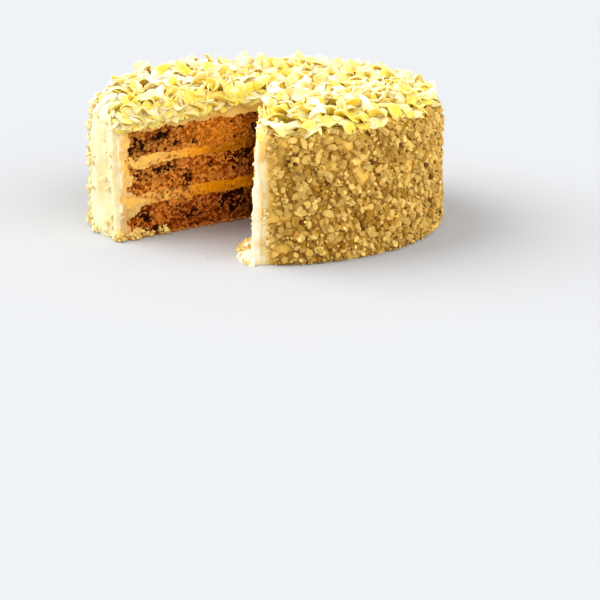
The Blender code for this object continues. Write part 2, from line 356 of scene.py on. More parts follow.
def skin(form, run, angle):
    """Spots on the cream and their frames, whose columns point down the slope, round and out."""
    slant, radius, height = outline(form, run)
    outward, around = directions(angle)
    sine, cosine = np.sin(slant)[..., None], np.cos(slant)[..., None]
    columns = (cosine * outward - sine * UPWARD, around, sine * outward + cosine * UPWARD)
    return place(radius, angle, height), np.stack(columns, axis=-1)


def from_cuts(form, radius, angle):
    """Distance from the nearer cut face's plane."""
    past = np.minimum(angle - form.cut_right, form.cut_right + arc_of(form) - angle)
    return radius * np.sin(np.clip(past, 0.0, 0.5 * PI))


def joint(form, level, radius, angle):
    """Height of the joint under a layer: wavy, with a crumbly edge. Level 0 is the flat base."""
    if level == 0:
        return np.zeros(np.broadcast(radius, angle).shape)
    spot = place(radius, angle, 40.0 * MM * level)
    wave = 0.5 * swell(spot, 46.0 * MM, 3) + 1.1 * swell(spot, 11.0 * MM, 5)
    wave = wave + 0.9 * swell(spot, 4.0 * MM, 7) + 0.55 * swell(spot, 1.8 * MM, 9)
    return sagged(form, JOINTS[level], radius) + MM * wave


# ---- Meshes -------------------------------------------------------------------------------------


def add_piece(name, points, faces, tint, finish, slot, replaced=(), sharp=60.0):
    """Makes one piece of the cake from arrays: its points, faces with 3 or 4 corners and tints.

    Edges sharper than that many degrees stay sharp. The piece rides on the cake's one body.
    """
    mesh = bpy.data.meshes.new(name)
    corners = np.concatenate([part.ravel() for part in faces])
    sides = np.concatenate([np.full(len(part), part.shape[1]) for part in faces])
    mesh.vertices.add(len(points))
    mesh.vertices.foreach_set("co", points.astype(np.float32).ravel())
    mesh.loops.add(len(corners))
    mesh.loops.foreach_set("vertex_index", corners.astype(np.int32))
    mesh.polygons.add(len(sides))
    mesh.polygons.foreach_set("loop_start", (np.cumsum(sides) - sides).astype(np.int32))
    mesh.update(calc_edges=True)
    if mesh.validate():
        raise RuntimeError(f"{name} has faces that Blender had to repair")
    painted = np.ones((len(points), 4), np.float32)
    painted[:, :3] = np.clip(tint, 0.0, 1.0)
    mesh.color_attributes.new("tint", "FLOAT_COLOR", "POINT").data.foreach_set("color", painted.ravel())
    mesh.shade_smooth()
    mesh.set_sharp_from_angle(angle=math.radians(sharp))
    mesh.materials.append(finish)
    piece = bpy.data.objects.new(name, mesh)
    bpy.context.scene.collection.objects.link(piece)
    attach(piece, "root")
    if replaced:
        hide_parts(*replaced)


def repeated(faces, points):
    """The faces of like pieces, from those of one and the points of all, (pieces, points, 3)."""
    number, points_each = points.shape[:2]
    shifts = np.arange(number)[:, None, None] * points_each
    return [(part[None] + shifts).reshape(-1, part.shape[1]) for part in faces]


def joined(shells):
    """One list of points, faces and tints from several."""
    points, faces, tints, start = [], [], [], 0
    for shell_points, shell_faces, shell_tint in shells:
        points.append(shell_points)
        faces += [part + start for part in shell_faces]
        tints.append(shell_tint)
        start += len(shell_points)
    return np.concatenate(points), faces, np.concatenate(tints)


def bands(index):
    """Faces between neighbouring rows of a grid of point numbers, each row a closed ring."""
    right = np.roll(index, -1, axis=1)
    return np.stack((index[:-1], index[1:], right[1:], right[:-1]), -1).reshape(-1, 4)


def tube(rings):
    """A closed tube from rings of points, (rows, around, 3). Seen from beyond the first ring, they
    run counterclockwise. A fan round the end ring's middle closes each end."""
    rows, around = rings.shape[:2]
    points = np.concatenate((rings.reshape(-1, 3), rings[:1].mean(1), rings[-1:].mean(1)))
    index = np.arange(rows * around).reshape(rows, around)
    right = np.roll(index, -1, axis=1)
    first, last = np.full(around, rows * around), np.full(around, rows * around + 1)
    ends = [np.stack((first, index[0], right[0]), -1), np.stack((last, right[-1], index[-1]), -1)]
    return points, [*ends, bands(index)]


def chopped(draw, halves, corners):
    """Chopped bits, one for each row of half sizes: slabs with that many corners, each corner
    pulled in by chance, more so at the one or the other face, and the faces cut at a slant.
    Returns their points and the faces of one."""
    number = len(halves)
    turned_by = 2.0 * PI * np.arange(corners) / corners
    ring = np.stack((np.cos(turned_by), np.sin(turned_by), np.ones(corners)), -1)
    shape, faces = tube(np.stack((ring, ring * (1.0, 1.0, -1.0))))
    pull = draw.uniform(0.5, 1.0, (number, 1, corners)) * draw.uniform(0.75, 1.0, (number, 2, corners))
    pull = np.concatenate((pull.reshape(number, -1), np.zeros((number, 2))), axis=1)
    points = np.empty((number, len(shape), 3))
    points[..., :2] = shape[:, :2] * pull[..., None]
    slant = points[..., 0] * draw.uniform(-0.35, 0.35, (number, 1))
    points[..., 2] = shape[:, 2] * (0.8 + slant + draw.uniform(-0.06, 0.06, points.shape[:2]))
    return points * halves[:, None], faces


def turned(yaw, pitch, roll):
    """Rotation matrices: roll about X, then pitch about Y, then yaw about Z."""

    def about(angle, first, second):
        """Turns the first axis towards the second."""
        matrix = np.tile(np.eye(3), (len(angle), 1, 1))
        matrix[:, first, first] = matrix[:, second, second] = np.cos(angle)
        matrix[:, second, first] = np.sin(angle)
        matrix[:, first, second] = -np.sin(angle)
        return matrix

    return about(yaw, 0, 1) @ about(pitch, 2, 0) @ about(roll, 1, 2)


def spun(shapes, rotation):
    """Each shape's points turned by its own matrix."""
    return np.einsum("nij,nvj->nvi", rotation, shapes)


def strewn(draw, spots, halves, corners):
    """Chopped bits turned by chance round their spots, none of them under the floor, and their
    faces."""
    shapes, faces = chopped(draw, halves, corners)
    points = spun(shapes, turned(*draw.uniform(0.0, 2.0 * PI, (3, len(spots))))) + spots[:, None]
    points[..., 2] = np.maximum(points[..., 2], 0.0)
    return points, repeated(faces, points)


def settle(ground, cells, low, high, firmness, ceiling):
    """How far to lift each piece, laid one after another on a map of heights.

    A piece sinks until that share of its samples has reached what lies below, or until its top is
    under its ceiling, and then raises the map. cells, low and high hold each sample's cell and its
    heights under and over the piece.
    """
    most = ceiling - high.max(axis=1)
    lifts = np.empty(len(cells))
    rank = int(firmness * (cells.shape[1] - 1))
    for index, under in enumerate(cells):
        lifts[index] = min(np.partition(ground[under] - low[index], rank)[rank], most[index])
        np.maximum.at(ground, under, high[index] + lifts[index])
    return lifts


def wedge_body(sheet, along, across, angles, relief):
    """A closed body swept round the axis from the right cut to the left one.

    sheet(along, across, angle) maps the unit square to a radius and a height. The square's border
    makes the swept skin. The whole square, drawn in by relief(points, across), makes each cut
    face, whose border takes the skin's last few millimetres along. Returns points, faces, each
    point's shares along and across, and whether it lies on a cut face.
    """
    square = np.arange(len(along) * len(across)).reshape(len(along), -1)
    border = np.concatenate((square[:-1, 0], square[-1, :-1], square[:0:-1, -1], square[0, :0:-1]))
    edge_i, edge_j = np.divmod(border, len(across))
    swept_radius, height = sheet(along[edge_i][None], across[edge_j][None], angles[:, None])
    swept = place(swept_radius, angles[:, None], height)
    index = np.arange(swept.shape[0] * swept.shape[1]).reshape(swept.shape[:2])
    faces = [bands(index)]

    points, shares, on_cut = [], [], []
    grid_along, grid_across = np.meshgrid(along, across, indexing="ij")
    inner = np.ones(grid_along.shape, bool)
    inner[edge_i, edge_j] = False
    start = index.size
    for end, inward in ((0, 1.0), (-1, -1.0)):
        angle = np.full(grid_along.shape, angles[end])
        radius, height = sheet(grid_along, grid_across, angle)
        face = place(radius, angle, height)
        _, around = directions(angle)
        near_axis = np.minimum(1.0, radius / NEAR_AXIS)
        drawn_in = around * (inward * near_axis * relief(face, grid_across))[..., None]
        face += drawn_in
        past = np.abs(angles - angles[end])[:, None] * swept_radius
        swept += np.clip(1.0 - past / CUT_BORDER, 0.0, 1.0)[..., None] * drawn_in[edge_i, edge_j]
        grid = np.zeros(grid_along.shape, int)
        grid[edge_i, edge_j] = index[end]
        grid[inner] = start + np.arange(inner.sum())
        start += inner.sum()
        quads = np.stack((grid[:-1, :-1], grid[1:, :-1], grid[1:, 1:], grid[:-1, 1:]), -1).reshape(-1, 4)
        faces.append(quads if end == 0 else quads[:, ::-1])
        points.append(face[inner])
        shares.append(np.stack((grid_along[inner], grid_across[inner]), -1))
        on_cut.append(np.ones(inner.sum(), bool))
    swept_shares = np.stack((along[edge_i], across[edge_j]), -1)
    swept_shares = np.broadcast_to(swept_shares, (*swept.shape[:2], 2)).reshape(-1, 2)
    at_ends = np.zeros(index.shape, bool)
    at_ends[[0, -1]] = True
    points = np.concatenate((swept.reshape(-1, 3), *points))
    shares = np.concatenate((swept_shares, *shares))
    return points, faces, shares, np.concatenate((at_ends.ravel(), *on_cut))


# ---- Finishes -----------------------------------------------------------------------------------


def food_finish(name, mottle, mottle_depth, grain, grain_height, roughness, glow, glow_reach, gloss):
    """A food surface: the points' tint, mottled, over a fine grain, with light seeping through.

    mottle and grain are the widths of their patches, roughness is a pair, least and most, and
    glow_reach is how far the light seeps.
    """
    finish = bpy.data.materials.new(name)
    finish.use_nodes = True
    nodes, links = finish.node_tree.nodes, finish.node_tree.links
    shader = nodes["Principled BSDF"]
    spot = nodes.new("ShaderNodeTexCoord").outputs["Object"]
    tint = nodes.new("ShaderNodeAttribute")
    tint.attribute_name = "tint"

    def noise(width, detail):
        made = nodes.new("ShaderNodeTexNoise")
        made.inputs["Scale"].default_value = 1.0 / width
        made.inputs["Detail"].default_value = detail
        links.new(spot, made.inputs["Vector"])
        return made.outputs["Fac"]

    def ranged(value, low, high):
        made = nodes.new("ShaderNodeMapRange")
        made.inputs["From Min"].default_value = 0.3
        made.inputs["From Max"].default_value = 0.7
        made.inputs["To Min"].default_value = low
        made.inputs["To Max"].default_value = high
        links.new(value, made.inputs["Value"])
        return made.outputs["Result"]

    mottled = ranged(noise(mottle, 3.0), 1.0 - mottle_depth, 1.0 + 0.5 * mottle_depth)
    shade = nodes.new("ShaderNodeVectorMath")
    shade.operation = "SCALE"
    links.new(tint.outputs["Color"], shade.inputs[0])
    links.new(mottled, shade.inputs["Scale"])
    links.new(shade.outputs["Vector"], shader.inputs["Base Color"])
    links.new(ranged(noise(2.0 * grain, 2.0), *roughness), shader.inputs["Roughness"])
    bump = nodes.new("ShaderNodeBump")
    bump.inputs["Strength"].default_value = 0.6
    bump.inputs["Distance"].default_value = grain_height
    links.new(noise(grain, 4.0), bump.inputs["Height"])
    links.new(bump.outputs["Normal"], shader.inputs["Normal"])
    shader.inputs["Specular IOR Level"].default_value = gloss
    shader.inputs["Subsurface Weight"].default_value = glow
    shader.inputs["Subsurface Radius"].default_value = (1.0, 0.72, 0.28)
    shader.inputs["Subsurface Scale"].default_value = glow_reach
    return finish


def sponge_finish():
    """Matt, open crumb."""
    return food_finish(
        "sponge_crumb", mottle=1.2 * MM, mottle_depth=0.3, grain=0.35 * MM, grain_height=0.25 * MM,
        roughness=(0.75, 0.95), glow=0.05, glow_reach=0.6 * MM, gloss=0.08,
    )


def filling_finish():
    """Soft butter cream, dragged by the knife."""
    return food_finish(
        "butter_cream", mottle=4.0 * MM, mottle_depth=0.12, grain=0.9 * MM, grain_height=0.12 * MM,
        roughness=(0.4, 0.6), glow=0.25, glow_reach=2.0 * MM, gloss=0.12,
    )


def cream_finish():
    """Cream of the coat."""
    return food_finish(
        "coat_cream", mottle=3.0 * MM, mottle_depth=0.1, grain=0.8 * MM, grain_height=0.15 * MM,
        roughness=(0.45, 0.65), glow=0.2, glow_reach=1.5 * MM, gloss=0.35,
    )


def shaving_finish():
    """Pale, waxy shavings, a little see-through at their edges."""
    return food_finish(
        "shaving", mottle=2.5 * MM, mottle_depth=0.08, grain=0.6 * MM, grain_height=0.05 * MM,
        roughness=(0.45, 0.65), glow=0.45, glow_reach=2.0 * MM, gloss=0.35,
    )


def nut_finish():
    """Chopped nuts with a fine, dry grain on their cut faces."""
    return food_finish(
        "chopped_nut", mottle=3.0 * MM, mottle_depth=0.12, grain=0.5 * MM, grain_height=0.05 * MM,
        roughness=(0.45, 0.7), glow=0.2, glow_reach=1.2 * MM, gloss=0.15,
    )


# ---- Sponges and fillings -----------------------------------------------------------------------


def layer_angles(form):
    """The angles at which the layers' sections are swept."""
    return form.cut_right + arc_of(form) * np.linspace(0.0, 1.0, 28)


def layer_sheet(form, level):
    """Maps the unit square to one layer's section, from its lower joint to its upper one."""

    def sheet(along, across, angle):
        radius = AXIS_RADIUS + (form.sponge_radius - AXIS_RADIUS) * along + 0.0 * angle
        low = joint(form, level, radius, angle) - (OVERLAP if level else 0.0)
        high = joint(form, level + 1, radius, angle) + OVERLAP
        return radius, low + (high - low) * across

    return sheet


def patchy(form, points, lumps, seed):
    """From 0 to 1 on the left-hand cut: 1 inside uneven ovals, each given by its middle's distance
    from the axis and height and by its half width and height, in millimetres."""
    radius, height = in_section(points)
    rough = 0.45 * swell(points, 5.0 * MM, seed) + 0.3 * swell(points, 2.0 * MM, seed + 1)
    inside = np.zeros(points.shape[:-1])
    for middle, up, half_width, half_height in lumps:
        far = np.hypot((radius - middle) / half_width, (height - up) / half_height)
        inside = np.maximum(inside, 1.0 - ramp(far + rough, 0.75, 1.25))
    outward, around = directions(form.cut_left)
    near_cut = (points @ outward > 0.0) & (np.abs(points @ around) < 4.0 * MM)
    return inside * near_cut


def smeared_cream(form, points):
    """Where cream covers the left-hand cut: at its outer border and in the lower filling's place."""
    lumps = (
        (94.0, 17.0, 7.0, 8.5), (96.5, 61.0, 5.5, 7.0), (98.0, 52.0, 5.2, 8.0), (97.5, 36.0, 7.0, 13.0),
        (96.5, 5.0, 5.5, 5.5), (85.0, 20.5, 5.0, 2.6), (76.0, 45.5, 10.0, 2.0), (88.0, 43.0, 6.5, 2.6),
        (60.0, 65.5, 9.0, 1.6), (79.0, 62.5, 7.0, 1.8), (45.0, 44.5, 7.0, 1.4),
    )
    return patchy(form, points, lumps, 110)


def dark_share(form, points):
    """The share of dark bits and painted shade: a few everywhere, more in patches and most in clusters.
    """
    # The clusters within 25 mm of the axis also paint the deep shade at the notch's apex.
    clusters = (
        (88.0, 54.0, 4.6, 5.2), (61.0, 62.5, 4.0, 2.4), (63.0, 52.5, 5.0, 1.4), (86.0, 47.0, 4.4, 2.2),
        (89.0, 35.0, 3.7, 2.8), (55.0, 32.0, 3.6, 4.8), (67.0, 38.5, 7.0, 2.6), (85.0, 12.0, 4.4, 3.1),
        (81.0, 3.5, 6.5, 3.0), (50.0, 8.0, 5.4, 3.2), (24.0, 12.0, 11.0, 6.5), (19.0, 38.0, 10.0, 6.5),
        (8.0, 53.0, 3.0, 6.0), (8.0, 66.0, 4.0, 3.0), (72.0, 58.0, 5.0, 2.2),
    )
    loose = ramp(swell(points, 10.0 * MM, 50), 0.05, 0.8)
    return 0.1 + 0.2 * loose + 0.5 * patchy(form, points, clusters, 120)


def sponge_relief(form, settings):
    """How deep a cut sponge is torn: round crumbs with gaps between them, and pits."""

    def relief(points, across):
        far, owner = grains(points, settings.crumb_size, 20)
        fine, _ = grains(points, 0.5 * settings.crumb_size, 30)
        torn = 0.5 + 0.5 * swell(points, 7.0 * MM, 40)
        pit = (owner < dark_share(form, points)) * np.clip(1.2 - far, 0.0, 1.0)
        crumbly = settings.crag * (0.6 * torn + 0.6 * far**2 + 0.3 * fine + 0.7 * pit)
        smooth = 0.3 * MM + 0.25 * MM * swell(points, 4.0 * MM, 41)
        return crumbly + (smooth - crumbly) * smeared_cream(form, points)

    return relief


def crumb_tint(form, settings, points):
    """Colour of the crumb: gold, brown and russet grains and dark bits, with a painted golden glow of
    light towards the axis, painted shade in the gaps between grains and at the axis, and darker high
    up near the side and, redder too, at the foot."""
    far, owner = grains(points, settings.crumb_size, 20)
    _, speck = grains(points, 0.5 * settings.crumb_size, 30)
    dark = dark_share(form, points)
    chosen = np.clip(0.72 * owner + 0.28 * speck, 0.0, 1.0)
    steps = (0.75 * dark, 0.14 + 0.8 * dark, 0.46 + 0.3 * dark)
    colours = pick(chosen, steps, (settings.dark, settings.russet, settings.brown, settings.gold))
    # Painted shade: each grain darkens towards its edge, in the gaps between grains.
    shade = (0.8 + 0.4 * speck) * (1.0 - 0.35 * ramp(far, 0.45, 0.9))
    radius, height = in_section(points)
    # Painted light: a golden glow in the top sponge and, weaker, in the middle one, near the axis.
    upper = np.exp(-(((radius - 30.0) / 24.0) ** 2) - ((height - 54.0) / 9.0) ** 2)
    middle = np.exp(-(((radius - 42.0) / 14.0) ** 2) - ((height - 34.0) / 8.0) ** 2)
    glow = np.maximum(upper, 0.35 * middle)
    with_painted_glow = blend(colours, (0.92, 0.34, 0.015), 0.6 * glow * (chosen > steps[0]))
    foot = 1.0 - ramp(height, 4.0, 26.0)
    # Painted shade at the axis, deep in the notch; darker too at the foot and high up near the side.
    darker = 0.27 * foot + 0.35 * (1.0 - ramp(radius, 8.0, 26.0))
    darker = darker + 0.34 * ramp(radius, 48.0, 72.0) * ramp(height, 22.0, 44.0)
    return with_painted_glow * (shade * (1.0 - darker))[..., None] * (1.0 - foot[..., None] * (0.0, 0.2, 0.35))


def cream_on_cut(cream, points):
    """Colour of cream on a cut face: tan, in paler and deeper streaks, darker at the foot."""
    streaks = swell(points * (0.5, 0.5, 1.0), 2.4 * MM, 85)
    tint = blend(cream.tan, cream.pale, np.clip(0.08 + 0.25 * swell(points, 7.0 * MM, 86), 0.0, 1.0))
    foot = 1.0 - ramp(points[..., 2], 12.0 * MM, 30.0 * MM)
    return tint * (1.0 + 0.1 * streaks - 0.2 * foot)[..., None]


def build_sponges(form, settings, cream):
    """Three sponges with crumbly cut faces, smeared with cream at the left-hand one."""
    finish = sponge_finish()
    relief = sponge_relief(form, settings)
    along = np.linspace(0.0, 1.0, 290)
    for level in (0, 2, 4):
        thickness = JOINTS[level + 1] - JOINTS[level]
        across = np.linspace(0.0, 1.0, int(thickness / (0.36 * MM)))
        sheet = layer_sheet(form, level)
        points, faces, _, _ = wedge_body(sheet, along, across, layer_angles(form), relief)
        tint = crumb_tint(form, settings, points)
        tint = blend(tint, cream_on_cut(cream, points), ramp(smeared_cream(form, points), 0.35, 0.65))
        name = LAYERS[level]
        add_piece(f"crumb_{name}", points, faces, tint, finish, "sponge", (name,))


def filling_tint(form, cream, sponge, points):
    """Butter cream, tan towards the side, with painted shadow at the axis and over the upper filling's
    inner part, smeared with crumb: the lower filling over its outer half, the upper one close to the
    side and, thinly, near the axis."""
    radius = np.hypot(points[..., 0], points[..., 1])
    outer = ramp(radius, 0.42 * form.sponge_radius, 0.78 * form.sponge_radius)
    upper = points[..., 2] > 0.5 * (JOINTS[2] + JOINTS[3])
    base = blend(cream.filling, cream.tan, outer)
    streaks = swell(points * (0.35, 0.35, 1.0), 1.6 * MM, 60)
    base = base * (1.0 + 0.08 * streaks)[..., None]
    far, owner = grains(points, sponge.crumb_size, 70)
    inner = 1.0 - ramp(radius, 36.0 * MM, 48.0 * MM)
    side = ramp(radius, 74.0 * MM, 84.0 * MM)
    in_lower = 0.04 + 0.72 * ramp(radius, 44.0 * MM, 56.0 * MM)
    crumbly = np.where(upper, 0.12 + 0.4 * side + 0.3 * inner, in_lower)
    smeared = owner < crumbly * (1.0 - smeared_cream(form, points))
    crumb = crumb_tint(form, sponge, points)
    # Painted shadow: darker at the axis and over the upper filling's inner part.
    painted_shadow = 1.0 - 0.5 * (1.0 - ramp(radius, 6.0 * MM, 18.0 * MM)) - 0.42 * upper * inner
    return blend(base * painted_shadow[..., None], crumb, smeared * (0.85 - 0.3 * ramp(far, 0.3, 0.8)))


def build_fillings(form, cream, sponge):
    """Two butter-cream fillings, dragged a little at the cuts."""
    finish = filling_finish()
    along = np.linspace(0.0, 1.0, 240)
    across = np.linspace(0.0, 1.0, 15)

    def relief(points, across):
        streaks = swell(points * (0.3, 0.3, 1.0), 2.2 * MM, 61)
        far, owner = grains(points, sponge.crumb_size, 70)
        lump = (owner < 0.3) * np.clip(1.0 - far, 0.0, 1.0)
        return 0.8 * MM + 0.4 * MM * streaks - 0.6 * MM * lump

    for level in (1, 3):
        sheet = layer_sheet(form, level)
        points, faces, _, _ = wedge_body(sheet, along, across, layer_angles(form), relief)
        name = LAYERS[level]
        tint = filling_tint(form, cream, sponge, points)
        add_piece(f"cream_{name}", points, faces, tint, finish, "filling", (name,))


def build_loose_crumbs(form, settings):
    """Crumbs that stand out of the sponges' cut faces, and crumbs fallen along their foot."""
    draw = np.random.default_rng(101)
    shares = even_shares(settings.loose, 0.3)
    end = (np.arange(settings.loose) % 2).astype(float)
    radius = form.sponge_radius * (0.03 + 0.95 * np.sqrt(shares[:, 0]))
    height = sagged(form, JOINTS[-1] * shares[:, 1], radius)
    angle = form.cut_right + arc_of(form) * end
    joints_below = sum(height > joint(form, level, radius, angle) for level in (1, 2, 3, 4))
    in_sponge = joints_below % 2 == 0
    kept = in_sponge | (draw.random(settings.loose) < 0.1 + 0.4 * (radius / form.sponge_radius) ** 2)
    kept &= smeared_cream(form, place(radius, angle, height)) < 0.4
    radius, height, end, angle = only(kept, radius, height, end, angle)
    half = draw.uniform(0.35, 0.95, len(radius)) ** 1.2 * MM
    depth = settings.crag * 0.7 * np.minimum(1.0, radius / NEAR_AXIS) - 0.1 * MM
    standing = place(radius, angle, np.maximum(height, 1.1 * half), (1.0 - 2.0 * end) * depth)

    fallen = 420
    radius = form.sponge_radius * draw.uniform(0.05, 1.04, fallen)
    end = np.arange(fallen) % 2
    angle = form.cut_right + arc_of(form) * end
    fallen_half = draw.uniform(0.35, 1.5, fallen) * draw.uniform(0.5, 1.0, fallen) * MM
    away = -0.4 * MM + 3.2 * MM * draw.random(fallen) ** 2.5
    on_floor = place(radius, angle, 0.75 * fallen_half, (2.0 * end - 1.0) * away)

    spots = np.concatenate((standing, on_floor))
    halves = np.concatenate((half, fallen_half))[:, None] * draw.uniform(0.7, 1.15, (len(spots), 3))
    points, faces = strewn(draw, spots, halves, 5)
    tint = crumb_tint(form, settings, spots + 0.4 * MM)
    tint[len(standing):] = blend(settings.brown, settings.gold, draw.random(fallen) ** 0.6)
    tint = np.repeat(tint, points.shape[1], axis=0)
    add_piece("sponge_crumbs", points.reshape(-1, 3), faces, tint, sponge_finish(), "sponge", sharp=35.0)


# ---- Cream --------------------------------------------------------------------------------------


def bulge(form, points, past_cut):
    """How far the side stands out at points that far from the nearer cut: wider at the foot, and
    thick and folded where the cream lies bare, round from the left-hand cut."""
    height, at_left = points[..., 2], near_left_cut(form, points)
    foot = 1.2 * (1.0 - ramp(height, 6.0 * MM, 34.0 * MM)) * ramp(past_cut, 0.0, 20.0 * MM)
    thick = (2.9 - 1.5 * ramp(height, 45.0 * MM, 65.0 * MM)) * ramp(past_cut, 2.0 * MM, 30.0 * MM)
    folds = 1.3 * swell(points * (1.0, 1.0, 0.4), 7.0 * MM, 89)
    return MM * (foot + at_left * (thick + folds))


def coat_sheet(form):
    """Maps the unit square to the coat's section: along it from the axis over the rim to the base,
    across it from the lining to the outside. The lining's corner faces the middle of the rim."""
    rim_start, wall_start, base = runs(form)
    corner_share = 0.5 * (rim_start + wall_start) / base

    def sheet(along, across, angle):
        slant, outer_radius, outer_height = outline(form, np.maximum(along * base, AXIS_RADIUS))
        spot = place(outer_radius, angle, outer_height)
        push = 0.55 * MM * swell(spot, 24.0 * MM, 80) + 0.5 * MM * swell(spot, 6.0 * MM, 81)
        past_cut = np.maximum(from_cuts(form, outer_radius, angle), 0.0)
        push = push + bulge(form, spot, past_cut) * np.sin(slant)
        missing = np.clip(1.0 - past_cut / EDGE_ROUNDING, 0.0, 1.0)
        push = push - EDGE_ROUNDING * (1.0 - np.sqrt(1.0 - missing**2 + 1e-9))
        outer_radius = np.maximum(outer_radius + push * np.sin(slant), AXIS_RADIUS)
        outer_height = np.maximum(outer_height + push * np.cos(slant), 0.0)

        on_top = np.minimum(along / corner_share, 1.0)
        on_wall = np.clip((along - corner_share) / (1.0 - corner_share), 0.0, 1.0)
        lining_reach = form.sponge_radius - 0.2 * MM - AXIS_RADIUS
        lining_radius = AXIS_RADIUS + lining_reach * on_top + 0.0 * angle
        ceiling = joint(form, len(LAYERS), lining_radius, angle) - OVERLAP
        lining_height = ceiling * (1.0 - on_wall)
        radius = lining_radius + (outer_radius - lining_radius) * across
        return radius, lining_height + (outer_height - lining_height) * across

    return sheet


def near_right_cut(form, points):
    """From 1 at the right-hand cut to 0 some 17 mm round the cake from it."""
    outward, around = directions(form.cut_right)
    return (1.0 - ramp(points @ around, 8.0 * MM, 17.0 * MM)) * (points @ outward > 0.0)


def near_left_cut(form, points):
    """From 1 on the outside beside the left-hand cut to 0 some 60 degrees round the cake."""
    angle = np.arctan2(points[..., 0], -points[..., 1]) % (2.0 * PI)
    past = form.cut_right + arc_of(form) - angle
    return 1.0 - ramp(past, math.radians(18.0), math.radians(62.0))


def bare_patches(points):
    """From 0 to 1 on the side: 1 in the patches where few nuts cover the cream."""
    return ramp(swell(points, 9.0 * MM, 77), 0.3, 0.65)


def outside_tint(form, cream, shavings, points, on_top):
    """Colour of the coat's outside: on the side a deep painted shade between the nuts, lighter in
    patches and beside the cuts, beside the left-hand one partly as painted light on the side facing
    the window, and on the top golden under the shavings as painted shade of the heap's hollows, pale
    beside the right-hand cut."""
    # Painted shade: the dark gap cream stands for the shade between the nuts.
    tint = blend(cream.gap, cream.patch, bare_patches(points))
    # Painted shade: the deep golden under the shavings stands for the shade in the heap's hollows.
    under_shavings = blend(shavings.deep, cream.pale, near_right_cut(form, points))
    tint = blend(tint, under_shavings, on_top)
    tint = tint * (1.0 + 0.1 * swell(points, 5.0 * MM, 84))[:, None]
    streaky = 0.85 + 0.3 * swell(points * (1.0, 1.0, 0.5), 5.0 * MM, 78)
    # Beside the left-hand cut the pale wall cream is partly its own tone and partly painted light on the
    # side facing the window.
    for tone_there, there in ((cream.patch, near_right_cut), (cream.wall, near_left_cut)):
        share = np.clip(there(form, points) * streaky, 0.0, 1.0)
        tint = blend(tint, tone_there, share * (1.0 - on_top))
    drawn = ramp(swell(points * (1.0, 1.0, 0.4), 4.0 * MM, 75), 0.15, 0.8)
    drawn = drawn * (0.2 + 0.25 * near_left_cut(form, points)) * (1.0 - on_top)
    return blend(tint, cream.patch, drawn)


def border_tint(form, cream, shavings, points, on_top, outwards):
    """Colour of the coat where it is cut: tan, raggedly golden under the left-hand cut's shavings,
    and raggedly pale towards the side's outside, a share from 0 at the lining to 1."""
    ragged = 0.35 * swell(points, 5.0 * MM, 87) + 0.25 * swell(points, 2.2 * MM, 88)
    left_top = on_top * near_left_cut(form, points)
    golden = blend(shavings.body, shavings.deep, 0.5)
    tint = cream_on_cut(cream, points)
    tint = blend(tint, golden, (0.5 + 0.4 * ramp(outwards + ragged, 0.3, 0.8)) * left_top)
    return blend(tint, cream.pale, ramp(outwards + 2.0 * ragged, 0.6, 1.2) * (1.0 - on_top))


def build_coat(form, cream, shavings):
    """The cream coat over the layers, a little uneven outside and smooth where it is cut, with
    finer steps round the cake beside the cuts."""
    rim_start, wall_start, base = runs(form)
    along = np.linspace(0.0, 1.0, 211)
    across = np.linspace(0.0, 1.0, 10)
    near_cut = np.array((0.0, 0.15, 0.4, 0.8, 1.3, 2.0, 3.0, 4.5, 6.5)) * MM / cream_radius(form)
    middle = np.linspace(near_cut[-1], arc_of(form) - near_cut[-1], 202)[1:-1]
    angles = form.cut_right + np.concatenate((near_cut, middle, arc_of(form) - near_cut[::-1]))

    def relief(points, across):
        lumps = 0.3 + 0.6 * swell(points, 5.0 * MM, 82) + 0.35 * swell(points, 1.8 * MM, 83)
        leaning = 1.7 * ramp(points[..., 2], 25.0 * MM, 68.0 * MM)
        leaning = leaning * (points @ directions(form.cut_right)[0] > 0.9 * form.sponge_radius)
        level = 0.3 + 0.25 * swell(points, 4.0 * MM, 41)
        return MM * np.maximum(level + (lumps + leaning) * ramp(across, 0.0, 0.6), 0.0)

    points, faces, shares, on_cut = wedge_body(coat_sheet(form), along, across, angles, relief)
    on_top = 1.0 - ramp(shares[:, 0] * base, rim_start, wall_start)
    outside = outside_tint(form, cream, shavings, points, on_top)
    cut = border_tint(form, cream, shavings, points, on_top, shares[:, 1])
    tint = np.where(on_cut[:, None], cut, outside)
    add_piece("coat", points, faces, tint, cream_finish(), *ON_COAT)


def corner_lean(down):
    """How far the dragged corner leans over the missing slice, at a share of the way down."""
    return 3.6 * MM * down**0.8


def bank_swelling(share):
    """How much of its full height and reach the bank has, at a share of its length."""
    return np.sqrt(np.sin(PI * share**0.9).clip(0.0, 1.0))


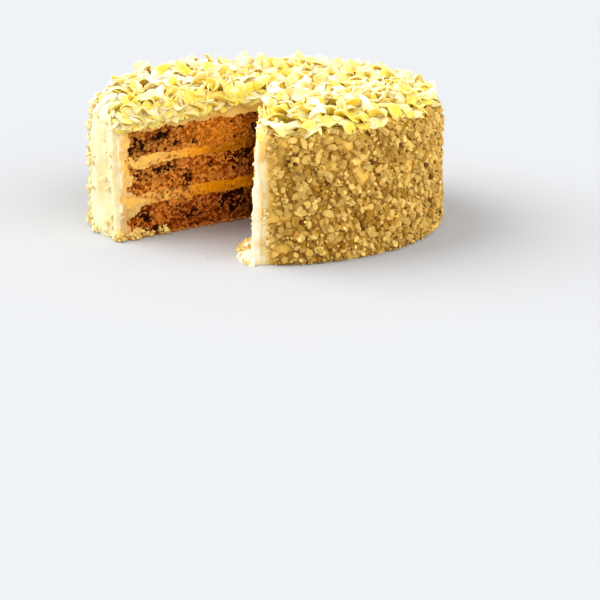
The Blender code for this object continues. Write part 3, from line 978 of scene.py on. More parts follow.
def corner_strip(form, cream):
    """Cream that the knife dragged along the right-hand corner, from over the rim to the base.

    A rounded section, whose sines and cosines are taken to the power of 3/4, is carried along the
    outline, just inside the corner. It is thinner on the rim and roughened by chance.
    """
    _, wall_start, base = runs(form)
    rows, around_count, squareness = 120, 22, 0.75
    run = np.linspace(wall_start - 9.0 * MM, base, rows)
    spots, frames = skin(form, run, np.full(rows, form.cut_right))
    around_turn = -2.0 * PI * np.arange(around_count) / around_count
    side, out = np.cos(around_turn), np.sin(around_turn)
    side, out = [np.sign(way) * np.abs(way) ** squareness for way in (side, out)]
    thickness = 3.1 * MM * (1.0 - 0.6 * ramp(run, wall_start - 5.0 * MM, wall_start - 9.0 * MM))
    leaning = corner_lean(((run - wall_start) / (base - wall_start)).clip(0.0, 1.0))
    local, rough = np.zeros((2, rows, around_count, 3))
    local[..., 1] = 4.9 * MM - leaning[:, None] + 3.3 * MM * side
    local[..., 2] = -2.4 * MM + thickness[:, None] * out
    rough[..., 1] = local[..., 1] + 0.7 * local[..., 2]
    rough[..., 2] = run[:, None]
    bumpy = 0.16 * swell(rough, 5.0 * MM, 90) + 0.14 * swell(rough, 2.2 * MM, 93)
    local[..., 2] *= 1.0 + bumpy
    local[..., 1] += MM * (0.5 * swell(rough, 6.0 * MM, 94) + 0.35 * swell(rough, 2.4 * MM, 79))
    local[..., 2] += 0.35 * MM * swell(rough, 9.0 * MM, 91)
    points, faces = tube(spots[:, None] + spun(local, frames))
    points[:, 2] = np.maximum(points[:, 2], 0.0)
    # Tan towards the inner side, away from the window: partly the cream's own tone, partly painted
    # shade.
    inner_side = np.concatenate((ramp(local[..., 1], 2.0 * MM, 5.5 * MM).ravel(), (0.0, 0.0)))
    golden = 0.75 * inner_side + 0.5 * swell(points, 6.0 * MM, 92)
    return points, faces, blend(cream.pale, cream.tan, np.clip(golden, 0.0, 1.0))


def foot_smear(form, cream):
    """Cream dragged out on the floor from the right-hand cut: a low bank against the cut face.

    A quarter of an oval, from the face down to the floor, is carried along the foot of the cut.
    Its reach and height rise and fall with the distance from the axis.
    """
    rows, arc_count = 90, 12
    share = np.linspace(0.0, 1.0, rows)
    radius = BANK[0] + (BANK[1] - BANK[0]) * share
    swelling = bank_swelling(share)
    along = np.stack((radius, 0.0 * radius, 0.0 * radius), -1)
    reach = swelling * (9.5 * MM + 2.4 * MM * swell(along, 9.0 * MM, 95)) + 0.05 * MM
    height = swelling * (BANK_HEIGHT + 1.8 * MM * swell(along, 8.0 * MM, 96)) + 0.05 * MM
    fall = 0.5 * PI * np.linspace(0.0, 1.0, arc_count)
    inside = np.full((rows, 1), 1.0 * MM)
    side = np.concatenate((inside, -reach[:, None] * np.sin(fall[1:]) ** 0.8, inside), axis=1)
    up = np.concatenate((height[:, None] * np.cos(fall) ** 0.8, np.zeros((rows, 1))), axis=1)
    rough = np.stack(np.broadcast_arrays(radius[:, None], side, up), -1)
    lumpy = 1.0 + 0.14 * swell(rough, 3.5 * MM, 97) + 0.06 * swell(rough, 1.4 * MM, 98)
    side = np.where(side < 0.0, side * lumpy, side)
    points, faces = tube(place(radius[:, None], form.cut_right, up * lumpy, side))
    golden = ramp(radius, 84.0 * MM, 70.0 * MM)[:, None] + 0.35 * swell(rough, 4.0 * MM, 99)
    golden = np.concatenate((golden.ravel(), (1.0, 0.0)))
    return points, faces, blend(cream.pale, cream.tan, np.clip(golden, 0.0, 1.0))


def build_dragged_cream(form, cream):
    """What the knife dragged from the right-hand cut: the corner strip and the bank at its foot."""
    points, faces, tint = joined((corner_strip(form, cream), foot_smear(form, cream)))
    add_piece("dragged_cream", points, faces, tint, cream_finish(), *ON_COAT)


# ---- Shavings on the top ------------------------------------------------------------------------


def flake_shapes(draw, number, kind):
    """Thin flakes of one kind, bent along their length, hollowed across it and twisted.

    A row of points across a flake lies on a shallow parabola, is turned by the twist and set on a
    circular arc whose turn from end to end is the bend. The half width changes evenly between two
    chance shares of the width, the ends, times 1 - |2u|^5 / 4, and is roughened by chance. Returns
    points, faces, middle rows for laying, and which points lie at an edge.
    """
    rows, columns = kind["rows"], kind["columns"]
    each = (number, 1, 1)

    def signed(limits, backward_share):
        """By chance within the limits, and below 0 for a share of the flakes."""
        return draw.uniform(*limits, each) * np.where(draw.random(each) < backward_share, -1.0, 1.0)

    along = np.linspace(-0.5, 0.5, rows)[None, :, None]
    beside = np.linspace(-1.0, 1.0, columns)[None, None, :]
    length = draw.uniform(*kind["lengths"], each)
    width = draw.uniform(*kind["widths"], each)
    bend = signed(kind["bends"], 0.35)
    cup = signed(kind["cups"], 0.3)
    twist = draw.uniform(-0.9, 0.9, each)
    near_end, far_end = draw.uniform(*kind["ends"], (2, *each))
    taper = near_end + (far_end - near_end) * (along + 0.5)
    profile = taper / np.maximum(near_end, far_end) * (1.0 - 0.25 * np.abs(2.0 * along) ** 5)
    ragged = draw.uniform(0.88, 1.08, (number, rows, columns))
    across = 0.5 * width * profile * beside * ragged
    sag = -cup * across**2 / width * 2.0
    thin = kind["thick"] * draw.uniform(0.7, 1.3, each) * (1.0 - 0.35 * beside**2)
    slip = draw.uniform(-0.04, 0.04, (number, rows, 1)) * length
    slip = slip + across * draw.uniform(-0.6, 0.6, each)

    def bent(y, z):
        angle = twist * along * 2.0
        y, z = y * np.cos(angle) - z * np.sin(angle), y * np.sin(angle) + z * np.cos(angle)
        turn_here = bend * along
        x = length / bend * np.sin(turn_here) + z * np.sin(turn_here)
        lift = length / bend * (np.cos(turn_here) - 1.0) + z * np.cos(turn_here)
        return np.stack((x + slip * 0.6, y + 0.0 * x, lift), axis=-1)

    over, under = bent(across, sag + 0.5 * thin), bent(across, sag - 0.5 * thin)
    points = np.concatenate((over, under[:, :, ::-1]), axis=2).reshape(number, -1, 3)
    ring = 2 * columns
    step = np.arange(columns - 1)
    first_end = np.stack((step, step + 1, ring - 2 - step, ring - 1 - step), -1)
    last_end = first_end[:, ::-1] + (rows - 1) * ring
    faces = [bands(np.arange(rows * ring).reshape(rows, ring)), np.concatenate((first_end, last_end))]
    edge = np.ones((rows, columns), bool)
    edge[1:-1, 1:-1] = False
    edge = np.concatenate((edge, edge[:, ::-1]), axis=1).ravel()
    return points, faces, 0.5 * (over + under), edge


def spread_between(rows, dense):
    """Weights that read dense even places from rows of values, straight between neighbours."""
    spots = np.linspace(0.0, rows - 1.0, dense)
    return np.maximum(0.0, 1.0 - np.abs(spots[:, None] - np.arange(rows)))


class TopMap:
    """A map of heights over the cream's top, unrolled over the rim as a flat disc."""

    def __init__(self, form):
        self.cell = 1.5 * MM
        self.reach = runs(form)[1] + 24.0 * MM
        self.side = int(2.0 * self.reach / self.cell) + 1
        line = (np.arange(self.side) + 0.5) * self.cell - self.reach
        across, back = np.meshgrid(line, line, indexing="ij")
        angle = np.arctan2(across, -back)
        in_slice = (angle > form.cut_left) & (angle < form.cut_right)
        sunk_in, out_of_reach = -0.5 * MM, -9.0 * MM
        self.ground = np.where(in_slice, out_of_reach, sunk_in).ravel()

    def cells(self, run, angle, down_slope, around):
        """The cell of each sample of pieces whose middles lie at run and angle."""
        outward, sideways = directions(angle)
        plan = outward[:, None, :2] * (run[:, None] + down_slope)[..., None]
        plan = plan + sideways[:, None, :2] * around[..., None]
        index = np.clip((plan + self.reach) / self.cell, 0, self.side - 1).astype(int)
        return index[..., 0] * self.side + index[..., 1]


def away_from_window_shade(world, columns):
    """From 0 to 1 for each point of flakes, the share of painted shade: 1 on a side turned away from
    the window. The side's normal is the cross product of its grid's steps."""
    number, points_each = world.shape[:2]
    over = world.reshape(number, points_each // (2 * columns), 2 * columns, 3)[:, :, :columns]
    normal = np.cross(np.gradient(over, axis=1), np.gradient(over, axis=2))
    window = np.array(WINDOW) / np.linalg.norm(WINDOW)
    facing = normal @ window / (np.linalg.norm(normal, axis=-1) + 1e-12)
    facing = np.concatenate((facing, -facing[:, :, ::-1]), axis=2).reshape(number, points_each)
    return 1.0 - ramp(facing, -0.1, 0.65)


def flake_tint(settings, draw, rise, edge, world, columns):
    """Pale, yellow or golden by chance, with pale edges, and more golden, as painted shade, the deeper
    in the heap and on a side turned away from the window light.

    rise holds each point's height over the cream, one row for a flake. Near the axis the shavings
    are more golden, and towards -X, the side the window light falls from, paler as painted light.
    """
    middle = world.mean(axis=1)[:, None]
    near_axis = np.exp(-((np.hypot(middle[..., 0], middle[..., 1]) / (24.0 * MM)) ** 2))
    # Painted light: paler towards -X, where the window light falls; more golden near the axis.
    by_place = 0.25 * near_axis + 0.14 * np.clip(middle[..., 0] / (90.0 * MM), -1.0, 0.6)
    # Painted shade: more golden deeper in the heap and on sides turned away from the window.
    heap_depth_shade = 1.0 - ramp(rise, 1.5 * MM, 0.7 * settings.heap)
    through = away_from_window_shade(world, columns)
    chosen = 0.8 * draw.random((len(rise), 1)) + by_place - 0.12 + 0.4 * heap_depth_shade + 0.5 * through
    tint = blend(settings.pale, settings.body, ramp(chosen, 0.1, 0.5))
    tint = blend(tint, settings.deep, ramp(chosen, 0.55, 1.05))
    golden = np.maximum(heap_depth_shade, through)
    tint = blend(tint, settings.pale, 0.7 * np.broadcast_to(edge, tint.shape[:2]) * (1.0 - 0.8 * golden))
    return (tint * draw.uniform(0.91, 1.02, len(rise))[:, None, None]).reshape(-1, 3)


def lay_flakes(form, settings, draw, top_map, kind):
    """Lays one kind of flake over the top, and returns its points, faces and tints.

    Beside the right-hand cut the flakes lie along it and end short of it. Beside the left-hand one
    they lean over it. On the rim they lie flatter and fewer, under a lower ceiling.
    """
    number = kind["count"]
    points, faces, middle, edge = flake_shapes(draw, number, kind)
    rim_start, wall_start, _ = runs(form)
    shares = (even_shares(number, kind["offset"]) + draw.normal(0.0, 0.006, (number, 2))) % 1.0
    angle = form.cut_right + arc_of(form) * shares[:, 1]
    at_left = near_left_cut(form, place(rim_start, angle, 0.0))
    at_back = ramp(np.cos(angle), 0.2, -0.6)
    over_rim = (0.4 + 0.15 * at_left + 0.2 * at_back) * (wall_start - rim_start)
    run = (rim_start + over_rim + kind["over_rim"]) * np.sqrt(shares[:, 0])
    past_cut = from_cuts(form, run, angle)

    inward = at_left * MM
    at_rim = ramp(run, rim_start - 10.0 * MM - 18.0 * inward, wall_start - 6.0 * MM - 6.0 * inward)
    tilt = math.radians(kind["tilt"]) * (1.0 - 0.7 * at_rim)
    pitch = draw.normal(0.0, 0.6, number).clip(-1.0, 1.0) * tilt
    roll = draw.normal(0.0, 0.6, number).clip(-1.0, 1.0) * tilt
    by_right = angle - form.cut_right < 0.5 * arc_of(form)
    usual_length = np.mean(kind["lengths"])
    lean = math.radians(30.0) * (1.0 - ramp(past_cut, 0.0, 6.0 * MM))
    lean = np.where(by_right, 0.0, -lean)
    yaw = draw.uniform(0.0, 2.0 * PI, number)
    yaw = np.where(by_right & (past_cut < 0.6 * usual_length), 0.06 * (yaw - PI), yaw)
    rotation = turned(0.0 * lean, 0.0 * lean, lean) @ turned(yaw, pitch, roll)
    clear = np.where(by_right, draw.uniform(0.27, 0.37, number), draw.uniform(-0.02, 0.12, number))
    kept = past_cut > clear * usual_length
    kept &= draw.random(number) > 0.2 * at_rim
    points, middle, rotation = only(kept, points, middle, rotation)
    at_rim, at_left, run, angle = only(kept, at_rim, at_left, run, angle)

    rows, columns = middle.shape[1:3]
    dense = np.einsum("ar,nrcx->nacx", spread_between(rows, 9), middle)
    dense = np.einsum("bc,nacx->nabx", spread_between(columns, 6), dense).reshape(len(run), -1, 3)
    dense = spun(dense, rotation)
    cells = top_map.cells(run, angle, dense[..., 0], dense[..., 1])
    low, high = dense[..., 2] - 0.5 * kind["thick"], dense[..., 2] + 0.5 * kind["thick"]
    ceiling = settings.heap * (1.0 - (0.55 + 0.2 * at_left) * at_rim)
    lifts = settle(top_map.ground, cells, low, high, kind["firmness"], ceiling)

    local = spun(points, rotation)
    local[..., 2] += lifts[:, None]
    spots, frames = skin(form, run, angle)
    world = spots[:, None] + spun(local, frames)
    tint = flake_tint(settings, draw, local[..., 2], edge, world, columns)
    return world.reshape(-1, 3), repeated(faces, world), tint


def hang_flakes(form, settings, draw, kind):
    """Flakes that lean over the left-hand cut's top edge, from flat on the top to nearly upright.

    Each lies where a quarter circle under the edge faces: out = cos(t) up + sin(t) towards the
    missing slice.
    """
    number = settings.hanging
    points, faces, _, edge = flake_shapes(draw, number, kind)
    radius = (runs(form)[0] + 4.0 * MM) * (0.02 + 0.98 * np.sqrt(draw.random(number)))
    angle = np.full(number, form.cut_left)
    _, towards = directions(angle)
    over = draw.uniform(0.1, 1.0, number)
    sine, cosine = np.sin(1.35 * over)[:, None], np.cos(1.35 * over)[:, None]
    out = cosine * UPWARD + sine * towards
    down = sine * -UPWARD + cosine * towards
    frames = np.stack((down, np.cross(out, down), out), axis=-1)
    drop = (3.4 + 3.0 * (radius / form.sponge_radius) ** 3) * MM
    height = sagged(form, cream_top(form) - 0.3 * MM - drop * over**1.5, radius)
    spots = place(radius, angle, height, 0.2 * MM + 0.8 * MM * over)
    yaw = draw.uniform(0.0, 2.0 * PI, number)
    local = spun(points, turned(yaw, *draw.normal(0.0, math.radians(15.0), (2, number))))
    world = spots[:, None] + spun(local, frames)
    # A rise of only 2 mm counts these flakes as deep in the heap, so they take its painted golden shade.
    tint = flake_tint(settings, draw, 2.0 * MM + local[..., 2], edge, world, kind["columns"])
    return world.reshape(-1, 3), repeated(faces, world), tint


def shaving_kinds(settings):
    """How each kind of shaving is cut and laid. The kinds are laid in this order.

    Lengths, widths and thick are metres, bends are radians from end to end and tilt is degrees.
    over_rim is how much further over the rim the kind reaches. A piece sinks until that share of
    its samples, its firmness, rests on what lies below.
    """
    longest = settings.longest
    return {
        "chips": {
            "count": settings.chips, "lengths": (0.13 * longest, 0.3 * longest),
            "widths": (0.1 * longest, 0.24 * longest), "ends": (0.4, 1.0), "bends": (0.1, 0.5),
            "cups": (0.0, 0.3), "thick": 1.0 * MM, "rows": 3, "columns": 2, "tilt": 55.0,
            "over_rim": 2.5 * MM, "firmness": 0.5, "offset": 0.1,
        },
        "shards": {
            "count": settings.shards, "lengths": (0.3 * longest, 0.65 * longest),
            "widths": (0.22 * longest, 0.46 * longest), "ends": (0.45, 1.0), "bends": (0.2, 1.0),
            "cups": (0.0, 0.5), "thick": 0.9 * MM, "rows": 4, "columns": 3, "tilt": 55.0,
            "over_rim": 1.0 * MM, "firmness": 0.5, "offset": 0.27,
        },
        "petals": {
            "count": settings.petals, "lengths": (0.45 * longest, 1.0 * longest),
            "widths": (0.34 * longest, 0.68 * longest), "ends": (0.6, 1.0), "bends": (0.6, 2.2),
            "cups": (0.1, 0.8), "thick": 0.9 * MM, "rows": 6, "columns": 4, "tilt": 50.0,
            "over_rim": 0.0, "firmness": 0.62, "offset": 0.5,
        },
        "slivers": {
            "count": settings.slivers, "lengths": (0.25 * longest, 0.6 * longest),
            "widths": (0.1 * longest, 0.2 * longest), "ends": (0.5, 1.0), "bends": (0.3, 1.4),
            "cups": (0.0, 0.3), "thick": 0.9 * MM, "rows": 5, "columns": 2, "tilt": 40.0,
            "over_rim": 1.0 * MM, "firmness": 0.5, "offset": 0.83,
        },
    }


def build_shavings(form, settings):
    """Heaps the shavings on the top, the small bits first, and hangs some straighter petals over
    the edge of the left-hand cut."""
    draw = np.random.default_rng(202)
    top_map = TopMap(form)
    finish = shaving_finish()
    kinds = shaving_kinds(settings)
    laid = {name: lay_flakes(form, settings, draw, top_map, kind) for name, kind in kinds.items()}
    laid["hanging"] = hang_flakes(form, settings, draw, {**kinds["petals"], "bends": (0.2, 0.9)})
    for name, (points, faces, tint) in laid.items():
        add_piece(f"shaving_{name}", points, faces, tint, finish, *ON_COAT, sharp=40.0)


# ---- Nuts on the side ---------------------------------------------------------------------------


class WallMap:
    """A map of heights over the wall, unrolled flat: the way round and the run."""

    def __init__(self, form):
        self.cell = 1.0 * MM
        self.radius = cream_radius(form)
        self.start = form.cut_right
        self.rows = int(runs(form)[2] / self.cell) + 3
        self.columns = int(arc_of(form) * self.radius / self.cell) + 3
        self.ground = np.full(self.rows * self.columns, -0.2 * MM)

    def cells(self, run, angle, down_slope, around):
        """The cell of each sample of pieces whose middles lie at run and angle."""
        row = (run[:, None] + down_slope) / self.cell
        column = ((angle - self.start)[:, None] * self.radius + around) / self.cell
        row = np.clip(row, 0, self.rows - 1).astype(int)
        return row * self.columns + np.clip(column, 0, self.columns - 1).astype(int)


def lay_nuts(form, draw, wall_map, shares, halves, kind):
    """Presses bits into the wall one after another, and returns their points and faces.

    None stay on the strip beside the right-hand cut, and few in the bare patches and where the
    cream lies bare beside the left-hand cut. Where larger bits lie already, only a share of the
    bits stays, the kind's crowding.
    """
    rim_start, wall_start, base = runs(form)
    lowest = base - 0.8 * halves[:, 0]
    start = rim_start + 0.35 * (wall_start - rim_start)
    run = start + (lowest - start) * shares[:, 0]
    angle = form.cut_right + arc_of(form) * shares[:, 1]
    spots, _ = skin(form, run, angle)
    bare = (0.78 + 0.2 * ramp(base - run, 0.0, 10.0 * MM)) * near_left_cut(form, spots)
    bare = np.maximum(bare, 0.75 * bare_patches(spots))
    strip_edge = 9.0 * MM + 3.5 * MM * swell(spots, 7.0 * MM, 76)
    kept = (angle - form.cut_right) * cream_radius(form) > strip_edge
    kept &= from_cuts(form, cream_radius(form), angle) > 1.0 * MM
    kept &= draw.random(len(halves)) > bare
    run, angle, halves = only(kept, run, angle, halves)
    number = len(halves)
    shapes, faces = chopped(draw, halves, kind["corners"])
    pitch, roll = draw.normal(0.0, kind["tilt"], (2, number)).clip(-1.2, 1.2)
    local = spun(shapes, turned(draw.uniform(0.0, 2.0 * PI, number), pitch, roll))
    cells = wall_map.cells(run, angle, local[..., 0], local[..., 1])
    crowded = wall_map.ground[cells].mean(axis=1) >= 0.5 * MM
    kept = ~crowded | (draw.random(number) < kind["crowding"])
    run, angle, halves, local, cells = only(kept, run, angle, halves, local, cells)
    half = halves[:, 2:3]
    low = np.broadcast_to(-0.7 * half, cells.shape)
    high = np.maximum(local[..., 2], 0.5 * half)
    lifts = settle(wall_map.ground, cells, low, high, 0.5, 3.4 * MM)
    spots, frames = skin(form, run, angle)
    lifts = lifts + bulge(form, spots, from_cuts(form, cream_radius(form), angle))
    local[..., 2] += lifts[:, None]
    world = spots[:, None] + spun(local, frames)
    world[..., 2] = np.maximum(world[..., 2], 0.0)
    return world, repeated(faces, world)


def nut_tint(settings, draw, world, toasted_share, skin_share):
    """One tone for each bit between pale and toasted, paler towards +X as painted light where the
    right-hand side is washed by light, with a few brown-skinned ones."""
    number = len(world)
    toasted = draw.random(number) ** (1.0 / toasted_share - 1.0)
    # Painted light: paler towards +X, where the right-hand side is washed by light.
    toasted = toasted * (1.0 - 0.2 * ramp(world[:, 0, 0], 55.0 * MM, 100.0 * MM))
    tint = blend(settings.pale, settings.toasted, toasted)
    tint = np.where(draw.random(number)[:, None] < skin_share, np.asarray(settings.skin), tint)
    tint = tint * draw.uniform(0.82, 1.1, number)[:, None]
    edges = draw.uniform(0.92, 1.06, world.shape[:2])
    return (tint[:, None] * edges[..., None]).reshape(-1, 3)


def nut_kinds(settings):
    """How each kind of bit is chopped and pressed in. The kinds are laid in this order.

    Half lengths are shares of the longest slice, half widths and thicknesses are shares of the
    half length, and tilt is the usual tilt in radians.
    """
    return {
        "slices": {
            "count": settings.slices, "lengths": (0.34, 0.52), "widths": (0.65, 0.95),
            "thicks": (0.2, 0.3), "corners": 6, "tilt": 0.24, "toasted": 0.4, "skinned": 0.0,
            "crowding": 0.5,
        },
        "chunks": {
            "count": settings.chunks, "lengths": (0.2, 0.34), "widths": (0.6, 1.0),
            "thicks": (0.45, 0.75), "corners": 5, "tilt": 0.4, "toasted": 0.5, "skinned": 0.015,
            "crowding": 0.3,
        },
        "granules": {
            "count": settings.granules, "lengths": (0.1, 0.2), "widths": (0.65, 1.0),
            "thicks": (0.5, 0.9), "corners": 5, "tilt": 0.7, "toasted": 0.5, "skinned": 0.03,
            "crowding": 0.12,
        },
        "crumbs": {
            "count": settings.crumbs, "lengths": (0.04, 0.1), "widths": (0.7, 1.0),
            "thicks": (0.6, 1.0), "corners": 4, "tilt": 0.8, "toasted": 0.4, "skinned": 0.03,
            "crowding": 0.08,
        },
    }


def build_nuts(form, settings):
    """Presses slices, chunks, granules and crumbs of nut into the side, the largest first. A
    quarter of the crumbs lies along the base."""
    draw = np.random.default_rng(303)
    wall_map = WallMap(form)
    finish = nut_finish()
    for index, (name, kind) in enumerate(nut_kinds(settings).items()):
        number = kind["count"]
        half = settings.longest * draw.uniform(*kind["lengths"], number)
        half_width = half * draw.uniform(*kind["widths"], number)
        halves = np.stack((half, half_width, half * draw.uniform(*kind["thicks"], number)), -1)
        shares = even_shares(number, 0.17 + 0.21 * index) + draw.normal(0.0, 0.004, (number, 2))
        if name == "crumbs":
            shares[::4, 0] = 1.0 - 0.05 * draw.random(len(shares[::4]))
        world, faces = lay_nuts(form, draw, wall_map, shares.clip(0.0, 1.0), halves, kind)
        tint = nut_tint(settings, draw, world, kind["toasted"], kind["skinned"])
        points = world.reshape(-1, 3)
        # Beside the left-hand cut the bits turn creamy: partly smeared cream, partly painted light on
        # the side facing the window.
        tint = blend(tint, settings.creamy_and_lit, 0.75 * near_left_cut(form, points))
        add_piece(f"nut_{name}", points, faces, tint, finish, *ON_COAT, sharp=30.0)


def trim_on_strip(form, draw, number):
    """Spots on the dragged corner strip: some on its corner, the others where the side begins."""
    height = cream_top(form) * draw.uniform(0.0, 0.86, number)
    corner = 1.6 * MM - corner_lean(1.0 - height / cream_top(form))
    on_corner = draw.random(number) < 0.4
    corner = corner + draw.normal(0.9, 0.5, number) * MM
    aside = np.where(on_corner, corner, draw.uniform(4.5, 8.5, number) * MM)
    inset = np.where(on_corner, draw.uniform(1.5, 5.5, number), -0.2) * MM
    return place(cream_radius(form) - inset, form.cut_right, height, aside)


def trim_on_bank(form, draw, number):
    """Spots on the bank of dragged cream, on the oval of its section, few on its outer part."""
    share = draw.random(number)
    radius = BANK[0] + (BANK[1] - 1.0 * MM - BANK[0]) * share
    swelling = bank_swelling(share)
    away = draw.random(number) ** 0.7
    height = swelling * BANK_HEIGHT * np.sqrt(1.0 - 0.9 * away**2)
    spots = place(radius, form.cut_right, height, -swelling * 10.5 * MM * away)
    return spots[(radius <= 84.0 * MM) | (draw.random(number) >= 0.72)]


def trim_at_foot(form, draw, number):
    """Spots along the foot of the left-hand cut, most of them low and close to it."""
    radius = draw.uniform(70.0, 105.0, number) * MM
    aside = draw.random(number) ** 2 * 4.5 * MM
    return place(radius, form.cut_left, draw.random(number) ** 2 * 5.0 * MM, aside)


def trim_on_floor(form, draw, number):
    """Spots on the floor in the missing slice."""
    angle = form.cut_left + (form.cut_right - form.cut_left) * draw.uniform(0.15, 0.85, number)
    return place(draw.uniform(50.0, 108.0, number) * MM, angle, 0.0)


def build_nut_trim(form, settings):
    """Bits of nut on the dragged cream and along the foot of the left-hand cut, with a few large
    slices there, and a few specks on the floor. They are brighter than the nuts on the side."""
    draw = np.random.default_rng(404)
    parts = ((trim_on_strip, 90), (trim_on_bank, 420), (trim_at_foot, 90), (trim_on_floor, 26))
    half_limits = ((0.5, 1.1), (0.5, 1.5), (0.6, 1.9), (0.25, 0.55))
    groups = [spots_of(form, draw, number) for spots_of, number in parts]
    sized = zip(half_limits, groups)
    half = np.concatenate([draw.uniform(*limits, len(spots)) for limits, spots in sized]) * MM
    halves = half[:, None] * draw.uniform(0.65, 1.1, (len(half), 3))
    spots = np.concatenate(groups)
    strip_end = len(groups[0])
    foot_start = strip_end + len(groups[1])
    large = slice(foot_start, foot_start + 9)
    halves[large] = np.multiply((3.6, 2.7, 0.9), draw.uniform(0.6, 1.15, (9, 1))) * MM
    radius = draw.uniform(88.0, 104.0, 9) * MM
    spots[large] = place(radius, form.cut_left, draw.uniform(1.0, 5.0, 9) * MM)
    spots[:, 2] = np.maximum(spots[:, 2], 0.7 * half)
    world, faces = strewn(draw, spots, halves, 6)
    tint = nut_tint(settings, draw, world, 0.35, 0.02)
    on_strip = np.repeat(np.arange(len(half)) < strip_end, world.shape[1])
    brighter = blend((0.98, 0.72, 0.22), (0.99, 0.84, 0.40), on_strip)
    points, tint = world.reshape(-1, 3), blend(tint, brighter, 0.6)
    add_piece("nut_trim", points, faces, tint, nut_finish(), *ON_COAT, sharp=30.0)


# ---- Stage --------------------------------------------------------------------------------------


def build_floor(stage):
    """A wide pale floor, just under the cake."""
    mesh = bpy.data.meshes.new("floor")
    reach, level = 6.0, -0.1 * MM
    corners = [(x * reach, y * reach, level) for x, y in ((-1, -1), (1, -1), (1, 1), (-1, 1))]
    mesh.from_pydata(corners, [], [(0, 1, 2, 3)])
    paint = bpy.data.materials.new("pale_floor")
    paint.use_nodes = True
    shader = paint.node_tree.nodes["Principled BSDF"]
    shader.inputs["Base Color"].default_value = (*stage.floor, 1.0)
    shader.inputs["Roughness"].default_value = 0.8
    shader.inputs["Specular IOR Level"].default_value = 0.1
    mesh.materials.append(paint)
    floor = bpy.data.objects.new("floor", mesh)
    bpy.context.scene.collection.objects.link(floor)


def hang_light(data, spot, target=(0.0, 0.0, 0.0)):
    """Hangs a light at its spot and turns it to its target."""
    light = bpy.data.objects.new(data.name, data)
    x, y, z = np.subtract(spot, target)
    light.location = spot
    light.rotation_euler = (math.atan2(math.hypot(x, y), z), 0.0, math.atan2(x, -y))
    bpy.context.scene.collection.objects.link(light)


def build_far_light(name, strength, softness, towards):
    """Even light from far away in one direction, as soft as a source that wide, in degrees."""
    data = bpy.data.lights.new(name, "SUN")
    data.energy = strength
    data.angle = math.radians(softness)
    hang_light(data, towards)


def build_slice_light(power, cone):
    """A soft-edged beam into the missing slice, that many degrees wide."""
    data = bpy.data.lights.new("slice_light", "SPOT")
    data.energy = power
    data.shadow_soft_size = 30.0 * MM
    data.spot_size = math.radians(cone)
    data.spot_blend = 1.0
    hang_light(data, *SLICE_LIGHT)


def build_sky(stage):
    """Even, faintly cool light from all round."""
    world = bpy.data.worlds.new("surroundings")
    world.use_nodes = True
    background = world.node_tree.nodes["Background"]
    background.inputs["Color"].default_value = (*stage.sky, 1.0)
    background.inputs["Strength"].default_value = stage.sky_strength
    bpy.context.scene.world = world


def build_camera(stage):
    """The camera, turned so that the footprint's middle falls at its place in the picture.

    The focal length and that place are in pixels of a picture 600 wide and high. The shifts are
    the tangents of the angles from the picture's middle to the place.
    """
    picture, focal = 600.0, 1500.0
    middle_x, middle_y = 267.5, 214.0
    shift_x = (middle_x - 0.5 * picture) / focal
    shift_y = (0.5 * picture - middle_y) / focal
    reach = math.sqrt(1.0 + shift_x**2 + shift_y**2)
    up_by = math.asin(reach * math.sin(stage.camera_up) / math.sqrt(1.0 + shift_y**2))
    dip = math.atan(shift_y) + up_by
    heading = -math.atan(shift_x / (math.cos(dip) + shift_y * math.sin(dip)))
    data = bpy.data.cameras.new("camera")
    data.sensor_width = 36.0
    data.lens = data.sensor_width * focal / picture
    camera = bpy.data.objects.new("camera", data)
    spot = (0.0, -math.cos(stage.camera_up), math.sin(stage.camera_up))
    camera.location = [stage.camera_far * part for part in spot]
    camera.rotation_euler = (0.5 * PI - dip, 0.0, -heading)
    bpy.context.scene.collection.objects.link(camera)
    bpy.context.scene.camera = camera


# ---- Operators ----------------------------------------------------------------------------------


class CAKE_OT_sponges(bpy.types.Operator):
    """Make the three crumbly sponges and their loose crumbs"""

    bl_idname = "cake.sponges"
    bl_label = "Sponges"

    def execute(self, context):
        scene = context.scene
        build_sponges(scene.cake_form, scene.cake_sponge, scene.cake_cream)
        build_loose_crumbs(scene.cake_form, scene.cake_sponge)
        return {"FINISHED"}


class CAKE_OT_fillings(bpy.types.Operator):
    """Make the two butter-cream fillings"""

    bl_idname = "cake.fillings"
    bl_label = "Fillings"

    def execute(self, context):
        scene = context.scene
        build_fillings(scene.cake_form, scene.cake_cream, scene.cake_sponge)
        return {"FINISHED"}


class CAKE_OT_coat(bpy.types.Operator):
    """Make the cream coat and the cream that the knife dragged"""

    bl_idname = "cake.coat"
    bl_label = "Cream coat"

    def execute(self, context):
        scene = context.scene
        build_coat(scene.cake_form, scene.cake_cream, scene.cake_shavings)
        build_dragged_cream(scene.cake_form, scene.cake_cream)
        return {"FINISHED"}


class CAKE_OT_shavings(bpy.types.Operator):
    """Heap the curled shavings on the top"""

    bl_idname = "cake.shavings"
    bl_label = "Shavings"

    def execute(self, context):
        build_shavings(context.scene.cake_form, context.scene.cake_shavings)
        return {"FINISHED"}


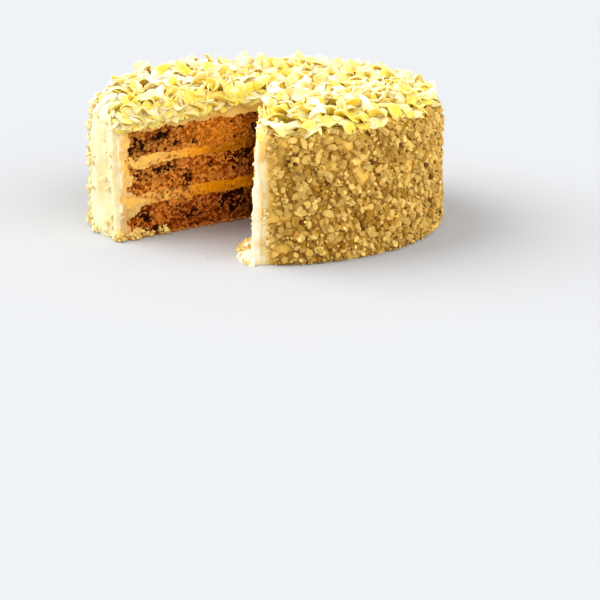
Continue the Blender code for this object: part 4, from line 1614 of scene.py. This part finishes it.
class CAKE_OT_nuts(bpy.types.Operator):
    """Press the chopped nuts into the side"""

    bl_idname = "cake.nuts"
    bl_label = "Nuts"

    def execute(self, context):
        build_nuts(context.scene.cake_form, context.scene.cake_nuts)
        build_nut_trim(context.scene.cake_form, context.scene.cake_nuts)
        return {"FINISHED"}


class CAKE_OT_stage(bpy.types.Operator):
    """Set up the floor, the light and the camera"""

    bl_idname = "cake.stage"
    bl_label = "Stage"

    def execute(self, context):
        stage = context.scene.cake_stage
        build_floor(stage)
        build_sky(stage)
        build_far_light("window_light", stage.key, 60.0, WINDOW)
        build_far_light("right_fill", stage.fill, 80.0, FRONT_RIGHT)
        build_slice_light(stage.glow, 9.0)
        build_camera(stage)
        context.scene.view_settings.view_transform = "Standard"
        return {"FINISHED"}


OPERATORS = (
    CAKE_OT_sponges, CAKE_OT_fillings, CAKE_OT_coat, CAKE_OT_shavings, CAKE_OT_nuts, CAKE_OT_stage,
)


class CAKE_PT_sidebar(bpy.types.Panel):
    """Lists the cake's pieces and their settings"""

    bl_idname = "CAKE_PT_sidebar"
    bl_label = "Cut layer cake"
    bl_space_type = "VIEW_3D"
    bl_region_type = "UI"
    bl_category = "Cake"

    def draw(self, context):
        for operator in OPERATORS:
            self.layout.operator(operator.bl_idname)
        for group_name, group in GROUPS.items():
            box = self.layout.box()
            box.label(text=group.__doc__.rstrip("."))
            for setting in group.__annotations__:
                box.prop(getattr(context.scene, group_name), setting)


def register():
    """Registers the settings, the operators and the panel."""
    for group_name, group in GROUPS.items():
        bpy.utils.register_class(group)
        setattr(bpy.types.Scene, group_name, bpy.props.PointerProperty(type=group))
    for cls in (*OPERATORS, CAKE_PT_sidebar):
        bpy.utils.register_class(cls)


def unregister():
    """Takes away what register added."""
    for cls in (CAKE_PT_sidebar, *reversed(OPERATORS)):
        bpy.utils.unregister_class(cls)
    for group_name, group in GROUPS.items():
        delattr(bpy.types.Scene, group_name)
        bpy.utils.unregister_class(group)


def main():
    """Makes the pieces one after another."""
    register()
    bpy.ops.cake.sponges()
    bpy.ops.cake.fillings()
    bpy.ops.cake.coat()
    bpy.ops.cake.shavings()
    bpy.ops.cake.nuts()
    bpy.ops.cake.stage()


if __name__ == "__main__":
    main()
